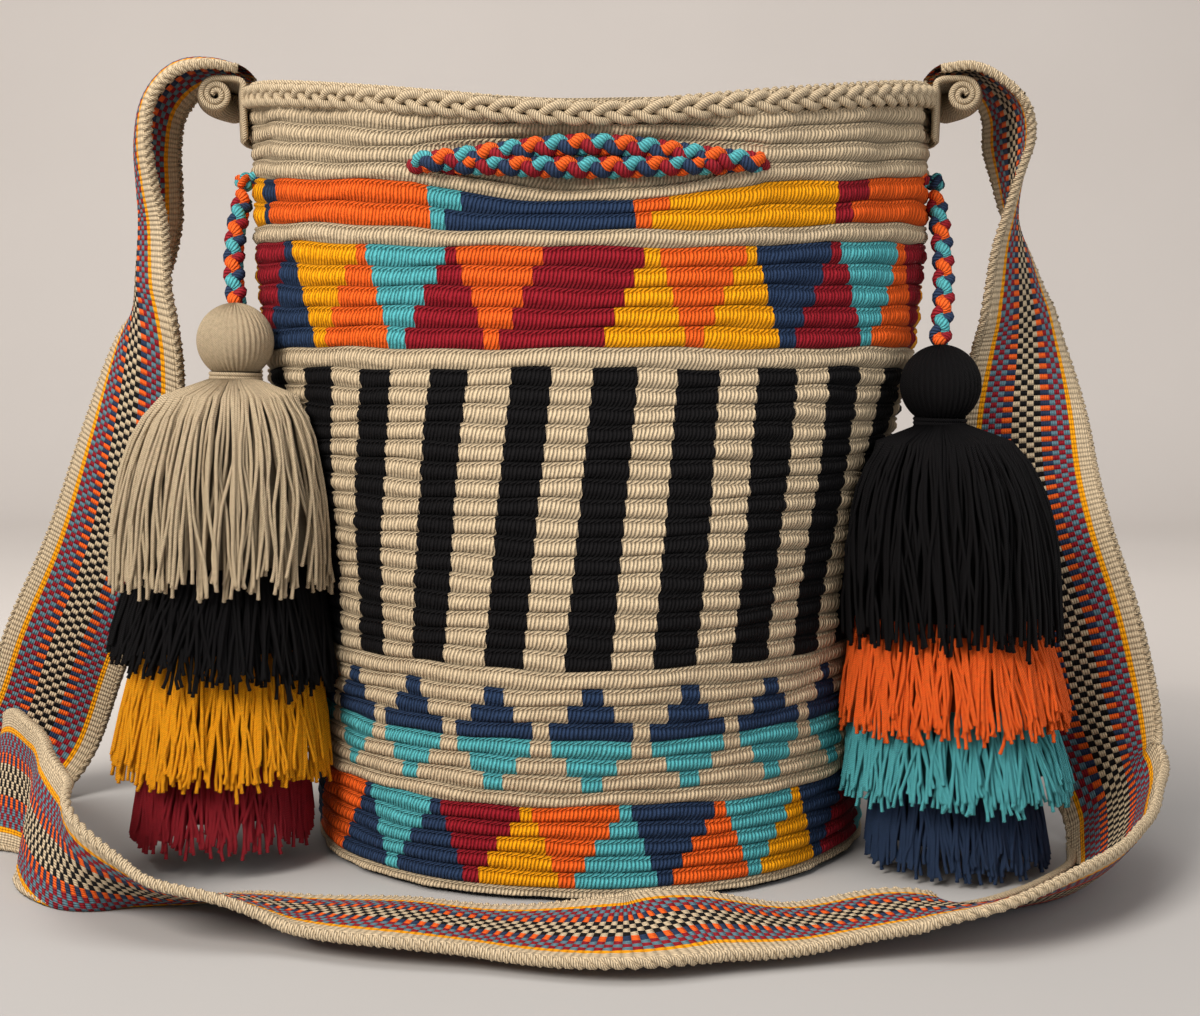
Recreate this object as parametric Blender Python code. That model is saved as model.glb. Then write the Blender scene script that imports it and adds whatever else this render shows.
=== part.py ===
"""Crocheted drawstring shoulder bag with a woven strap and two hanging tassels.

Metres, +Z up. The origin is the middle of the bag's base on the floor, and the front faces -Y.
"""
import math

import bmesh
import bpy
import numpy as np
from mathutils import Vector

# Driving dimensions of the bag
BAG_HEIGHT = 0.280          # floor to the rim at the two sides
MEAN_RADIUS = 0.1045        # the crocheted tube's radius where it is round
WAIST_HALF_WIDTH = 0.0995   # narrowest place, low on the wall
MOUTH_HALF_WIDTH = 0.127    # the mouth is pulled wide by the strap
WALL = 0.0035               # thickness of the crocheted wall
BASE_CORNER = 0.006         # rounding where the wall meets the base
ROW_COUNT = 42              # crocheted rows from the base to the rim
ROW_RELIEF = 0.0011         # how far each row stands out of the grooves beside it
RIM_BEAD = 0.0012           # how far the rim's edging stands out of the wall
RIM_HEIGHT = 0.009          # height of the rim's edging
RIM_SAG = 0.0125            # how much lower the rim lies at the front and the back
FRONT_DIP = 0.0030          # extra dip in the middle of the front
DIP_HALF_WIDTH = 0.045      # the dip fades over this distance to each side
SAG_START = 0.63            # share of the height above which the rows sag
GAP = 0.0003                # clearance between pieces that touch

# Driving dimensions of the drawstring
CORD_DIAMETER = 0.0072
STRAND_PITCH = 0.0076       # the two front strands lie this far apart
DRAWSTRING_DROP = 0.0310    # from the rim at the sides down to the upper strand
WINDOW_HALF_LENGTH = 0.060  # the strands lie outside the wall this far to each side
EYELET_LENGTH = 0.020       # length of wall in which the cord passes through
EYELET_CLEARANCE = 0.0007
EXIT_FORWARD = 0.009        # the two side eyelets lie this far in front of the middle
KNOT_RADIUS = 0.0042
TAIL_GAP = 0.0006           # a free cord ends this far above the ball
TAIL_FORWARD = 0.001        # a free cord starts this far in front of its knot
TAIL_BOW = 0.0022           # a free cord bows out this far on its way down
DENT = 0.0030               # the wall is drawn in behind the outer strands
DENT_REACH = 0.0115         # height above and below the strands at which the dent fades
CORD_CLEARANCE = 0.0006     # the cord lies this far off the wall
STEP_START = 0.40           # share of the cord's length where it starts down to the lower strand
STEP_LENGTH = 0.22          # share of the cord's length that this takes
ROUTE_POINTS = 78
CUTTER_REACH = 3            # route points to each side of an eyelet's middle

# Driving dimensions of the strap
STRAP_WIDTH = 0.050
STRAP_THICKNESS = 0.0024
EDGING_THICKNESS = 0.0040   # the crocheted edging on both sides of the band
EDGING_WIDTH = 0.0045
COLLAR_LENGTH = 0.036       # along the rim, at each end of the strap
COLLAR_HEIGHT = 0.024
COLLAR_THICKNESS = 0.0035
COLLAR_RISE = 0.0014        # the collar stands this far above the rim
ROLL_RADIUS = 0.0070        # the rolled-up end under the strap
ROLL_OFFSET = 0.004         # the roll's near side lies this far outside the wall
ROLL_START = math.radians(-144)
ROLL_SWEEP = math.radians(234)

# Driving dimensions of the tassels
TIER_WALL = 0.0030
NEST_DEPTH = 0.018          # how far a tier reaches up inside the one above it
NECK_RADIUS = 0.0082
TIE_RADIUS = 0.0013
CORE_RADIUS = 0.0025
FLUTE_DEPTH = 0.0007        # depth of the grooves between strands at a tier's outside
NECK_SHARE = 0.84           # the neck starts this share of the ball's radius below its middle
NECK_LENGTH = 0.0035
CEILING_RISE = 0.002        # a tier's hollow ends this far above the next tier's crown
TIER_STEP = 0.006           # below the upper tier, a tier widens over this height
CORE_TOP_DROP = 0.0015      # the core starts this far below the ball's middle
CORE_END_DROP = 0.004       # the core's knot ends this far below the lowest crown
CORE_KNOT_SHARE = 2.2       # the core's knot is this many times as thick as the core
LEFT_BALL = (-0.126, -0.040, 0.1845)
LEFT_BALL_RADIUS = 0.0135
LEFT_FOOT = (-0.131, -0.051)
LEFT_TIERS = (
    ("left_tassel_head", "beige", 0.0985, 0.0415),
    ("left_tassel_tier_2", "black", 0.0660, 0.0420),
    ("left_tassel_tier_3", "yellow", 0.0355, 0.0400),
    ("left_tassel_tier_4", "burgundy", 0.0120, 0.0325),
)
RIGHT_BALL = (0.1245, -0.044, 0.1690)
RIGHT_BALL_RADIUS = 0.0142
RIGHT_FOOT = (0.130, -0.058)
RIGHT_TIERS = (
    ("right_tassel_head", "black", 0.0805, 0.0400),
    ("right_tassel_tier_2", "orange", 0.0520, 0.0415),
    ("right_tassel_tier_3", "turquoise", 0.0280, 0.0415),
    ("right_tassel_tier_4", "navy", 0.0035, 0.0325),
)

# Fineness of the meshes
WALL_SIDES = 32
TASSEL_SIDES = 20

# The rest follows from the sizes above
CORD_RADIUS = CORD_DIAMETER / 2
INSIDE = -(WALL + ROW_RELIEF + CORD_RADIUS + CORD_CLEARANCE)
OUTSIDE = CORD_RADIUS + CORD_CLEARANCE
STRAND_HEIGHT = BAG_HEIGHT - DRAWSTRING_DROP

COLOURS = {
    "beige": (0.462, 0.376, 0.254),
    "orange": (0.836, 0.144, 0.019),
    "turquoise": (0.093, 0.402, 0.445),
    "navy": (0.024, 0.050, 0.112),
    "burgundy": (0.258, 0.014, 0.024),
    "yellow": (0.871, 0.392, 0.009),
    "black": (0.007, 0.006, 0.007),
}


def clear_scene():
    """Remove every object that the scene starts with."""
    for item in list(bpy.data.objects):
        bpy.data.objects.remove(item, do_unlink=True)


def yarn(colour):
    """Return the matt yarn material of one colour, made once."""
    name = "yarn_" + colour
    found = bpy.data.materials.get(name)
    if found:
        return found
    material = bpy.data.materials.new(name)
    material.use_nodes = True
    shader = material.node_tree.nodes["Principled BSDF"]
    shader.inputs["Base Color"].default_value = (*COLOURS[colour], 1.0)
    shader.inputs["Roughness"].default_value = 0.85
    shader.inputs["Metallic"].default_value = 0.0
    return material


def smooth_step(value):
    """Return 0 to 1 with level ends for a value from 0 to 1."""
    value = min(1.0, max(0.0, value))
    return value * value * (3 - 2 * value)


def smooth_path(points, steps):
    """Return a smooth curve through the rows of points, with steps parts between each two."""
    points = np.asarray(points, dtype=float)
    padded = np.vstack((2 * points[0] - points[1], points, 2 * points[-1] - points[-2]))
    result = []
    for index in range(1, len(padded) - 2):
        before, start, end, after = padded[index - 1:index + 3]
        for step in range(steps):
            t = step / steps
            result.append(0.5 * (2 * start + (end - before) * t
                                 + (2 * before - 5 * start + 4 * end - after) * t * t
                                 + (3 * start - before - 3 * end + after) * t ** 3))
    result.append(points[-1])
    return np.array(result)


def new_object(name, vertices, faces, colour):
    """Make a smooth-shaded mesh object with one yarn material."""
    mesh = bpy.data.meshes.new(name)
    mesh.from_pydata([tuple(vertex) for vertex in vertices], [], faces)
    mesh.validate()
    work = bmesh.new()
    work.from_mesh(mesh)
    bmesh.ops.recalc_face_normals(work, faces=work.faces)
    work.to_mesh(mesh)
    work.free()
    mesh.shade_smooth()
    mesh.set_sharp_from_angle(angle=math.radians(50))
    mesh.materials.append(yarn(colour))
    made = bpy.data.objects.new(name, mesh)
    bpy.context.scene.collection.objects.link(made)
    return made


def ring_faces(rings, sides, closed_loop):
    """Return quads between successive rings, joined end to end when closed_loop is true."""
    faces = []
    last = rings if closed_loop else rings - 1
    for ring in range(last):
        upper = (ring + 1) % rings
        for side in range(sides):
            after = (side + 1) % sides
            faces.append((ring * sides + side, ring * sides + after,
                          upper * sides + after, upper * sides + side))
    return faces


def cap_faces(ring, sides, centre):
    """Return the triangles that close one ring onto a centre vertex."""
    return [(ring * sides + side, ring * sides + (side + 1) % sides, centre)
            for side in range(sides)]


# The bag's wall

def half_width(height):
    """Return the wall's half width along X at a height."""
    shares = (0.0, 0.12, 0.25, 0.36, 0.45, 0.52, 0.64, 0.80, 1.0)
    spread = (0.15, 0.15, 0.0, 0.13, 0.345, 0.51, 0.83, 0.93, 1.0)
    share = min(1.0, max(0.0, height / BAG_HEIGHT))
    index = min(len(shares) - 2, max(0, int(np.searchsorted(shares, share)) - 1))
    part = (share - shares[index]) / (shares[index + 1] - shares[index])
    if spread[index] == spread[index + 1] or index <= 1:
        part = smooth_step(part)
    value = spread[index] + (spread[index + 1] - spread[index]) * part
    return WAIST_HALF_WIDTH + (MOUTH_HALF_WIDTH - WAIST_HALF_WIDTH) * value


def half_depth(height):
    """Return the half depth along Y that keeps the distance round the tube the same."""
    return math.sqrt(2 * MEAN_RADIUS ** 2 - half_width(height) ** 2)


def sag(angle, height):
    """Return how far the top rows hang lower at an angle round the bag."""
    share = (height / BAG_HEIGHT - SAG_START) / (1 - SAG_START)
    across = math.cos(angle) * MOUTH_HALF_WIDTH / DIP_HALF_WIDTH
    dip = FRONT_DIP * math.exp(-across ** 2) if math.sin(angle) < 0 else 0.0
    return max(0.0, share) * RIM_SAG * math.sin(angle) ** 2 + dip * smooth_step(2 * share - 1)


def dent(angle, height):
    """Return how far the wall is drawn in behind the strands at the front and the back."""
    along = math.cos(angle) * half_width(height) / WINDOW_HALF_LENGTH
    if abs(along) >= 1:
        return 0.0
    strand_middle = STRAND_HEIGHT - STRAND_PITCH / 2
    away = (height - strand_middle) / DENT_REACH
    return DENT * (1 - along ** 2) * math.exp(-away ** 2)


def wall_point(angle, height, offset):
    """Return a point of the wall, moved out by offset, where angle 0 is +X."""
    real_height = height - sag(angle, height)
    out = offset - dent(angle, real_height)
    return Vector(((half_width(height) + out) * math.cos(angle),
                   (half_depth(height) + out) * math.sin(angle),
                   real_height))


def level_point(angle, real_height, offset):
    """Return a point of the wall, moved out by offset, at a height above the floor."""
    height = real_height
    for _ in range(6):
        height = real_height + sag(angle, height)
    return wall_point(angle, height, offset)


def wall_levels():
    """Return (height, offset) pairs up the outside, over the rim and down the inside."""
    levels = []
    for step in range(4):
        turn = math.pi / 2 * step / 4
        levels.append((BASE_CORNER * (1 - math.cos(turn)), -BASE_CORNER * (1 - math.sin(turn))))
    first = BASE_CORNER
    row = (BAG_HEIGHT - RIM_HEIGHT - first) / ROW_COUNT
    for index in range(ROW_COUNT):
        levels.append((first + row * index, -ROW_RELIEF))
        levels.append((first + row * (index + 0.5), 0.0))
    levels.append((BAG_HEIGHT - RIM_HEIGHT, -ROW_RELIEF))
    levels.append((BAG_HEIGHT - 0.75 * RIM_HEIGHT, RIM_BEAD))
    levels.append((BAG_HEIGHT - 0.25 * RIM_HEIGHT, RIM_BEAD))
    levels.append((BAG_HEIGHT, -0.3 * WALL))
    levels.append((BAG_HEIGHT, -0.8 * WALL))
    inner_steps = 9
    for index in range(inner_steps + 1):
        height = BAG_HEIGHT - RIM_HEIGHT / 2
        height += (WALL + BASE_CORNER - height) * index / inner_steps
        levels.append((height, -WALL - ROW_RELIEF))
    levels.append((WALL, -WALL - ROW_RELIEF - BASE_CORNER))
    return levels


def make_bag():
    """Make the wall and base as one shell."""
    levels = wall_levels()
    vertices = []
    for height, offset in levels:
        for side in range(WALL_SIDES):
            vertices.append(wall_point(2 * math.pi * side / WALL_SIDES, height, offset))
    bottom_centre = len(vertices)
    vertices.append(Vector((0, 0, 0)))
    vertices.append(Vector((0, 0, WALL)))
    faces = ring_faces(len(levels), WALL_SIDES, False)
    faces += cap_faces(0, WALL_SIDES, bottom_centre)
    faces += cap_faces(len(levels) - 1, WALL_SIDES, bottom_centre + 1)
    return new_object("bag_body", vertices, faces, "beige")


# The drawstring: one cord that goes one and a half times round the mouth

def exit_angle():
    """Return the angle from the X axis at which the cord leaves at a side."""
    return math.asin(EXIT_FORWARD / half_depth(STRAND_HEIGHT))


def outside_share(angle):
    """Return 1 where the cord lies outside the wall and 0 where it lies inside."""
    x = math.cos(angle) * half_width(STRAND_HEIGHT)
    return smooth_step((WINDOW_HALF_LENGTH + EYELET_LENGTH / 2 - abs(x)) / EYELET_LENGTH)


def drawstring_point(travel):
    """Return the cord's centre after travel radians from the left eyelet."""
    start = math.pi + exit_angle()
    whole = 3 * math.pi - 2 * exit_angle()
    angle = start + travel
    step = smooth_step((travel / whole - STEP_START) / STEP_LENGTH)
    height = STRAND_HEIGHT - STRAND_PITCH * step
    share = outside_share(angle)
    end_turn = EYELET_LENGTH / MOUTH_HALF_WIDTH
    for distance in (travel, whole - travel):
        share = max(share, 1 - smooth_step(distance / end_turn))
    return level_point(angle, height, INSIDE + (OUTSIDE - INSIDE) * share)


def drawstring_route():
    """Return the cord's centre line from the left eyelet to the right one."""
    whole = 3 * math.pi - 2 * exit_angle()
    return [drawstring_point(whole * index / (ROUTE_POINTS - 1)) for index in range(ROUTE_POINTS)]


def make_cord(name, route, colour):
    """Make a round cord along a route as a curve object with closed ends."""
    curve = bpy.data.curves.new(name, "CURVE")
    curve.dimensions = "3D"
    curve.bevel_depth = CORD_RADIUS
    curve.bevel_resolution = 2
    curve.use_fill_caps = True
    spline = curve.splines.new("POLY")
    spline.points.add(len(route) - 1)
    for point, place in zip(spline.points, route):
        point.co = (*place, 1.0)
    curve.materials.append(yarn(colour))
    made = bpy.data.objects.new(name, curve)
    bpy.context.scene.collection.objects.link(made)
    return made


def tube_mesh(name, route, radius, sides):
    """Make a closed mesh tube along a short route, used as a cutter."""
    vertices = []
    for index, place in enumerate(route):
        ahead = route[min(index + 1, len(route) - 1)] - route[max(index - 1, 0)]
        ahead.normalize()
        across = ahead.cross(Vector((0, 0, 1))).normalized()
        upright = across.cross(ahead)
        for side in range(sides):
            turn = 2 * math.pi * side / sides
            vertices.append(place + across * radius * math.cos(turn)
                            + upright * radius * math.sin(turn))
    start = len(vertices)
    vertices += [route[0], route[-1]]
    faces = ring_faces(len(route), sides, False)
    faces += cap_faces(0, sides, start)
    faces += cap_faces(len(route) - 1, sides, start + 1)
    return new_object(name, vertices, faces, "black")


def cut_eyelets(bag):
    """Cut a passage through the wall at each place where the cord crosses it."""
    whole = 3 * math.pi - 2 * exit_angle()
    window_turn = math.acos(WINDOW_HALF_LENGTH / half_width(STRAND_HEIGHT))
    first_front = window_turn - exit_angle()
    last_front = math.pi - window_turn - exit_angle()
    crossings = [EYELET_LENGTH / 2 / MOUTH_HALF_WIDTH, whole - EYELET_LENGTH / 2 / MOUTH_HALF_WIDTH]
    for turn in (0, math.pi, 2 * math.pi):
        crossings += [first_front + turn, last_front + turn]
    route = drawstring_route()
    for index, crossing in enumerate(crossings):
        middle = round(crossing / whole * (len(route) - 1))
        part_route = route[max(0, middle - CUTTER_REACH):middle + CUTTER_REACH + 1]
        if index < 2:
            part_route[-index] = part_route[-index] * 2 - part_route[1 - 3 * index]
        cutter = tube_mesh("eyelet_cutter_%d" % index, part_route, CORD_RADIUS + EYELET_CLEARANCE, 12)
        cutter.hide_render = True
        cutter.display_type = "WIRE"
        cut = bag.modifiers.new("eyelet_%d" % index, "BOOLEAN")
        cut.operation = "DIFFERENCE"
        cut.solver = "EXACT"
        cut.object = cutter


def knot_centre(side):
    """Return the centre of the stopper knot outside the left (-1) or right (1) eyelet."""
    route = drawstring_route()
    end, before = (route[0], route[1]) if side < 0 else (route[-1], route[-2])
    return end + (end - before).normalized() * (KNOT_RADIUS + GAP)


def make_ball(name, centre, radius, colour):
    """Make a round knot."""
    mesh = bpy.data.meshes.new(name)
    work = bmesh.new()
    bmesh.ops.create_uvsphere(work, u_segments=14, v_segments=9, radius=radius)
    work.to_mesh(mesh)
    work.free()
    mesh.shade_smooth()
    mesh.materials.append(yarn(colour))
    made = bpy.data.objects.new(name, mesh)
    bpy.context.scene.collection.objects.link(made)
    made.location = centre
    return made


# The strap: a band that runs from the left rim down to the floor, round the front and up again

def strap_stations():
    """Return rows of centre, width direction, bulge and width share along the band.

    A row at a side gives the side, how far it lies outside the end of the mouth and in front of
    the bag's middle, and its height as a share of the bag's. A row at the front gives its place
    along X, how far it lies in front of the wall and its height. Then come the direction from
    the back edge to the front edge, the bulge across the band and the share of its width.
    """
    left, right = -1, 1
    sides = [
        (left, 0.001, 0.000, 1.0130, (0, -1, 0), 0.001, 0.72),
        (left, 0.012, 0.000, 1.0160, (0, -1, 0), 0.004, 0.90),
        (left, 0.023, 0.000, 1.0040, (0, -1, 0), 0.007, 0.97),
        (left, 0.031, 0.000, 0.9700, (0, -1, 0), 0.008, 0.95),
        (left, 0.033, 0.000, 0.9200, (0, -1, 0), 0.009, 0.93),
        (left, 0.032, -0.001, 0.8680, (0.03, -1, 0), 0.010, 0.90),
        (left, 0.031, -0.002, 0.8150, (0.12, -1, 0), 0.011, 0.88),
        (left, 0.034, -0.002, 0.7320, (0.30, -0.95, 0), 0.010, 0.90),
        (left, 0.040, -0.003, 0.6500, (0.68, -0.73, -0.06), 0.006, 0.97),
        (left, 0.051, -0.012, 0.5110, (0.83, -0.45, -0.30), 0.004, 1.0),
        (left, 0.067, -0.025, 0.3540, (0.87, -0.20, -0.42), 0.002, 1.0),
        (left, 0.085, -0.035, 0.2220, (0.88, 0.00, -0.48), 0.001, 1.0),
        (left, 0.099, -0.040, 0.1020, (0.88, 0.05, -0.36), 0.000, 1.0),
        (left, 0.112, -0.030, 0.0450, (0.97, 0.15, 0.02), -0.003, 1.0),
        (left, 0.115, -0.010, 0.0420, (0.93, 0.05, 0.30), -0.004, 1.0),
        (left, 0.105, 0.014, 0.0640, (0.66, 0.00, 0.72), -0.002, 1.0),
        (left, 0.086, 0.036, 0.0900, (0.28, -0.05, 0.95), 0.000, 1.0),
        (left, 0.070, 0.056, 0.0880, (0.12, -0.22, 0.94), 0.000, 1.0),
        (left, 0.061, 0.084, 0.0820, (0.34, -0.30, 0.86), 0.001, 1.0),
        (left, 0.048, 0.104, 0.0640, (0.50, -0.44, 0.72), 0.002, 1.0),
        (left, 0.031, 0.120, 0.0550, (0.40, -0.64, 0.60), 0.002, 1.0),
        (left, 0.008, 0.125, 0.0400, (0.20, -0.88, 0.40), 0.001, 1.0),
    ]
    front = [
        (-0.112, 0.0235, 0.0100, (0.10, -0.95, 0.26), 0.001, 1.0),
        (-0.088, 0.0245, 0.0060, (0.10, -0.98, 0.12), 0.000, 0.98),
        (-0.057, 0.0325, 0.0060, (0.06, -0.99, 0.06), -0.001, 1.0),
        (-0.026, 0.0365, 0.0050, (0.02, -1.0, 0.05), 0.000, 1.0),
        (0.010, 0.0445, 0.0080, (0.00, -1.0, -0.08), 0.001, 1.0),
        (0.034, 0.0385, 0.0080, (-0.02, -1.0, -0.06), -0.001, 1.0),
        (0.065, 0.0315, 0.0050, (-0.08, -1.0, 0.06), 0.000, 0.98),
        (0.096, 0.0265, 0.0080, (-0.16, -0.98, 0.06), 0.000, 1.0),
        (0.119, 0.0265, 0.0095, (-0.16, -0.96, 0.24), 0.001, 1.0),
        (0.143, 0.0145, 0.0110, (-0.17, -0.92, 0.34), 0.003, 1.0),
        (0.164, -0.0065, 0.0110, (-0.16, -0.92, 0.36), 0.004, 1.0),
        (0.180, -0.0305, 0.0130, (-0.02, -0.93, 0.36), 0.003, 1.0),
    ]
    rise = [
        (right, 0.062, 0.049, 0.0700, (0.26, -0.92, 0.28), -0.002, 1.0),
        (right, 0.062, 0.034, 0.1050, (0.56, -0.74, 0.28), -0.004, 1.0),
        (right, 0.057, 0.026, 0.1930, (0.86, -0.50, 0.06), -0.002, 1.0),
        (right, 0.052, 0.020, 0.2850, (0.87, -0.45, 0.16), 0.000, 1.0),
        (right, 0.043, 0.011, 0.4000, (0.89, -0.34, 0.28), 0.001, 1.0),
        (right, 0.0385, 0.002, 0.5010, (0.97, -0.10, 0.18), 0.002, 1.0),
        (right, 0.036, -0.001, 0.6480, (0.82, 0.56, 0.02), 0.003, 1.0),
        (right, 0.034, 0.000, 0.7160, (0.64, 0.77, 0), 0.003, 1.0),
        (right, 0.0315, 0.000, 0.7860, (0.43, 0.90, 0), 0.003, 0.98),
        (right, 0.030, 0.000, 0.8320, (0.20, 0.98, 0), 0.003, 0.97),
        (right, 0.030, 0.000, 0.8800, (0.02, 1.0, 0), 0.003, 0.96),
        (right, 0.030, 0.000, 0.9250, (-0.14, 0.99, 0), 0.003, 0.96),
        (right, 0.0285, 0.000, 0.9650, (-0.10, 1.0, 0), 0.003, 0.96),
        (right, 0.022, 0.000, 0.9970, (0, 1, 0), 0.003, 0.94),
        (right, 0.012, 0.000, 1.0140, (0, 1, 0), 0.003, 0.88),
        (right, 0.001, 0.000, 1.0130, (0, 1, 0), 0.001, 0.72),
    ]
    rows = []
    for side, out, forward, share, direction, bulge, width in sides:
        place = (side * (MOUTH_HALF_WIDTH + out), -forward, share * BAG_HEIGHT)
        rows.append((*place, *Vector(direction).normalized(), bulge, width))
    for x, forward, height, direction, bulge, width in front:
        place = (x, -(MEAN_RADIUS + forward), height)
        rows.append((*place, *Vector(direction).normalized(), bulge, width))
    for side, out, forward, share, direction, bulge, width in rise:
        place = (side * (MOUTH_HALF_WIDTH + out), -forward, share * BAG_HEIGHT)
        rows.append((*place, *Vector(direction).normalized(), -bulge, width))
    return rows


def band_outline():
    """Return (across, half thickness) pairs of the band from one edge to the other."""
    half = STRAP_WIDTH / 2
    inner = half - EDGING_WIDTH
    thin = STRAP_THICKNESS / 2
    thick = EDGING_THICKNESS / 2
    return ((-half, 0.45 * thick), (-half + 0.35 * EDGING_WIDTH, thick), (-inner, thin),
            (0.0, thin), (inner, thin), (half - 0.35 * EDGING_WIDTH, thick), (half, 0.45 * thick))


def make_strap():
    """Make the woven band as one closed ribbon."""
    path = smooth_path(strap_stations(), 2)
    outline = band_outline()
    sides = 2 * len(outline)
    vertices = []
    for index, row in enumerate(path):
        centre = Vector(row[0:3])
        width = Vector(row[3:6]).normalized()
        ahead = Vector(path[min(index + 1, len(path) - 1)][0:3])
        ahead -= Vector(path[max(index - 1, 0)][0:3])
        ahead.normalize()
        normal = ahead.cross(width).normalized()
        width = normal.cross(ahead).normalized()
        bulge, share = row[6], row[7]
        for direction in (1, -1):
            for across, half in outline[::direction]:
                rise = bulge * (1 - (2 * across / STRAP_WIDTH) ** 2) + direction * half
                place = centre + width * across * share + normal * rise
                place.z = max(place.z, 0.0 if direction * normal.z < 0 else half)
                vertices.append(place)
    start = len(vertices)
    for end in (0, len(path) - 1):
        ring = vertices[end * sides:(end + 1) * sides]
        vertices.append(sum(ring, Vector()) / sides)
    faces = ring_faces(len(path), sides, False)
    faces += cap_faces(0, sides, start)
    faces += cap_faces(len(path) - 1, sides, start + 1)
    return new_object("strap", vertices, faces, "beige")


def collar_outline():
    """Return (outward from the wall, height) pairs of a collar with its roll."""
    top = BAG_HEIGHT + COLLAR_RISE
    bottom = top - COLLAR_HEIGHT
    roll_out = ROLL_RADIUS + ROLL_OFFSET
    roll_height = top - ROLL_RADIUS
    points = [(0.0, top), (0.0, (top + bottom) / 2), (0.0, bottom), (COLLAR_THICKNESS, bottom)]
    steps = 9
    for step in range(steps + 1):
        turn = ROLL_START + ROLL_SWEEP * step / steps
        points.append((roll_out + ROLL_RADIUS * math.cos(turn),
                       roll_height + ROLL_RADIUS * math.sin(turn)))
    return points


def make_collar(name, side):
    """Make the beige collar that holds one end of the strap at the rim."""
    outline = collar_outline()
    cuts = 7
    vertices = []
    for cut in range(cuts):
        y = COLLAR_LENGTH * (cut / (cuts - 1) - 0.5)
        for out, height in outline:
            flat = min(height, BAG_HEIGHT)
            reach = 1 - (y / half_depth(flat)) ** 2
            wall = (half_width(flat) + RIM_BEAD) * math.sqrt(reach)
            vertices.append(Vector((side * (wall + GAP + out), y, height)))
    sides = len(outline)
    start = len(vertices)
    for end in (0, cuts - 1):
        ring = vertices[end * sides:(end + 1) * sides]
        vertices.append(sum(ring, Vector()) / sides)
    faces = ring_faces(cuts, sides, False)
    faces += cap_faces(0, sides, start)
    faces += cap_faces(cuts - 1, sides, start + 1)
    return new_object(name, vertices, faces, "beige")


# The tassels

class Tassel:
    """Places of one tassel: its ball, the foot of its axis and its tiers."""

    def __init__(self, side, ball, ball_radius, foot, tiers):
        self.side = side
        self.ball = Vector(ball)
        self.ball_radius = ball_radius
        self.foot = Vector((foot[0], foot[1], tiers[-1][2]))
        self.tiers = tiers
        self.neck_height = self.ball.z - NECK_SHARE * ball_radius

    def axis(self, height):
        """Return the point of the leaning axis at a height."""
        share = (height - self.ball.z) / (self.foot.z - self.ball.z)
        return self.ball.lerp(self.foot, share)

    def free_radius(self, angle, height, radius, depth):
        """Return the radius, pressed in where the bag's wall is nearer than that."""
        centre = self.axis(height)
        a = half_width(height) + depth + GAP
        b = half_depth(height) + depth + GAP
        dx, dy = math.cos(angle), math.sin(angle)
        square = (dx / a) ** 2 + (dy / b) ** 2
        linear = centre.x * dx / a ** 2 + centre.y * dy / b ** 2
        rest = (centre.x / a) ** 2 + (centre.y / b) ** 2 - 1
        inside = linear ** 2 - square * rest
        if inside <= 0 or linear >= 0:
            return radius
        return min(radius, (-linear - math.sqrt(inside)) / square)


def tassel_ring(tassel, height, radius, depth, fluted):
    """Return one ring of vertices round the tassel's axis."""
    centre = tassel.axis(height)
    ring = []
    for side in range(TASSEL_SIDES):
        angle = 2 * math.pi * side / TASSEL_SIDES
        reach = tassel.free_radius(angle, height, radius, depth)
        if fluted and side % 2:
            reach -= FLUTE_DEPTH
        ring.append(Vector((centre.x + reach * math.cos(angle),
                            centre.y + reach * math.sin(angle), height)))
    return ring


def skirt_radius(share, bottom_radius):
    """Return the radius of hanging strands at a share of the way from the tie to the cut ends."""
    spread = math.sqrt(1 - (1 - share) ** 3)
    return NECK_RADIUS + (bottom_radius - NECK_RADIUS) * spread


def head_rings(tassel):
    """Return rings down the ball and skirt, then up inside the skirt and the core's bore."""
    name, colour, bottom, radius = tassel.tiers[0]
    rings = []
    for step in range(1, 8):
        turn = math.pi * 0.72 * step / 7
        height = tassel.ball.z + tassel.ball_radius * math.cos(turn)
        rings.append((height, tassel.ball_radius * math.sin(turn), 0.0, False))
    seat = tassel.neck_height - NECK_LENGTH
    rings.append((tassel.neck_height, NECK_RADIUS, 0.0, False))
    rings.append((seat, NECK_RADIUS, 0.0, False))
    for share in (0.05, 0.14, 0.28, 0.46, 0.68, 0.86, 1.0):
        height = seat + (bottom - seat) * share
        rings.append((height, skirt_radius(share, radius), 0.0, True))
    ceiling = bottom + NEST_DEPTH + CEILING_RISE
    inner = radius - TIER_WALL
    rings.append((bottom, inner, TIER_WALL, False))
    rings.append((bottom + 0.65 * NEST_DEPTH, 0.98 * inner, TIER_WALL, False))
    rings.append((ceiling, 0.72 * inner, TIER_WALL, False))
    rings.append((ceiling, CORE_RADIUS + GAP, 0.0, False))
    rings.append((tassel.ball.z, CORE_RADIUS + GAP, 0.0, False))
    return rings


def make_head(tassel):
    """Make the ball and the skirt below it, folded from one bundle of yarn."""
    name, colour, bottom, radius = tassel.tiers[0]
    rings = head_rings(tassel)
    vertices = []
    for height, ring_radius, depth, fluted in rings:
        vertices += tassel_ring(tassel, height, ring_radius, depth, fluted)
    top = len(vertices)
    vertices.append(tassel.ball + Vector((0, 0, tassel.ball_radius)))
    vertices.append(tassel.ball + Vector((0, 0, 0)))
    faces = ring_faces(len(rings), TASSEL_SIDES, False)
    faces += cap_faces(0, TASSEL_SIDES, top)
    faces += cap_faces(len(rings) - 1, TASSEL_SIDES, top + 1)
    return new_object(name, vertices, faces, colour)


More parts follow.
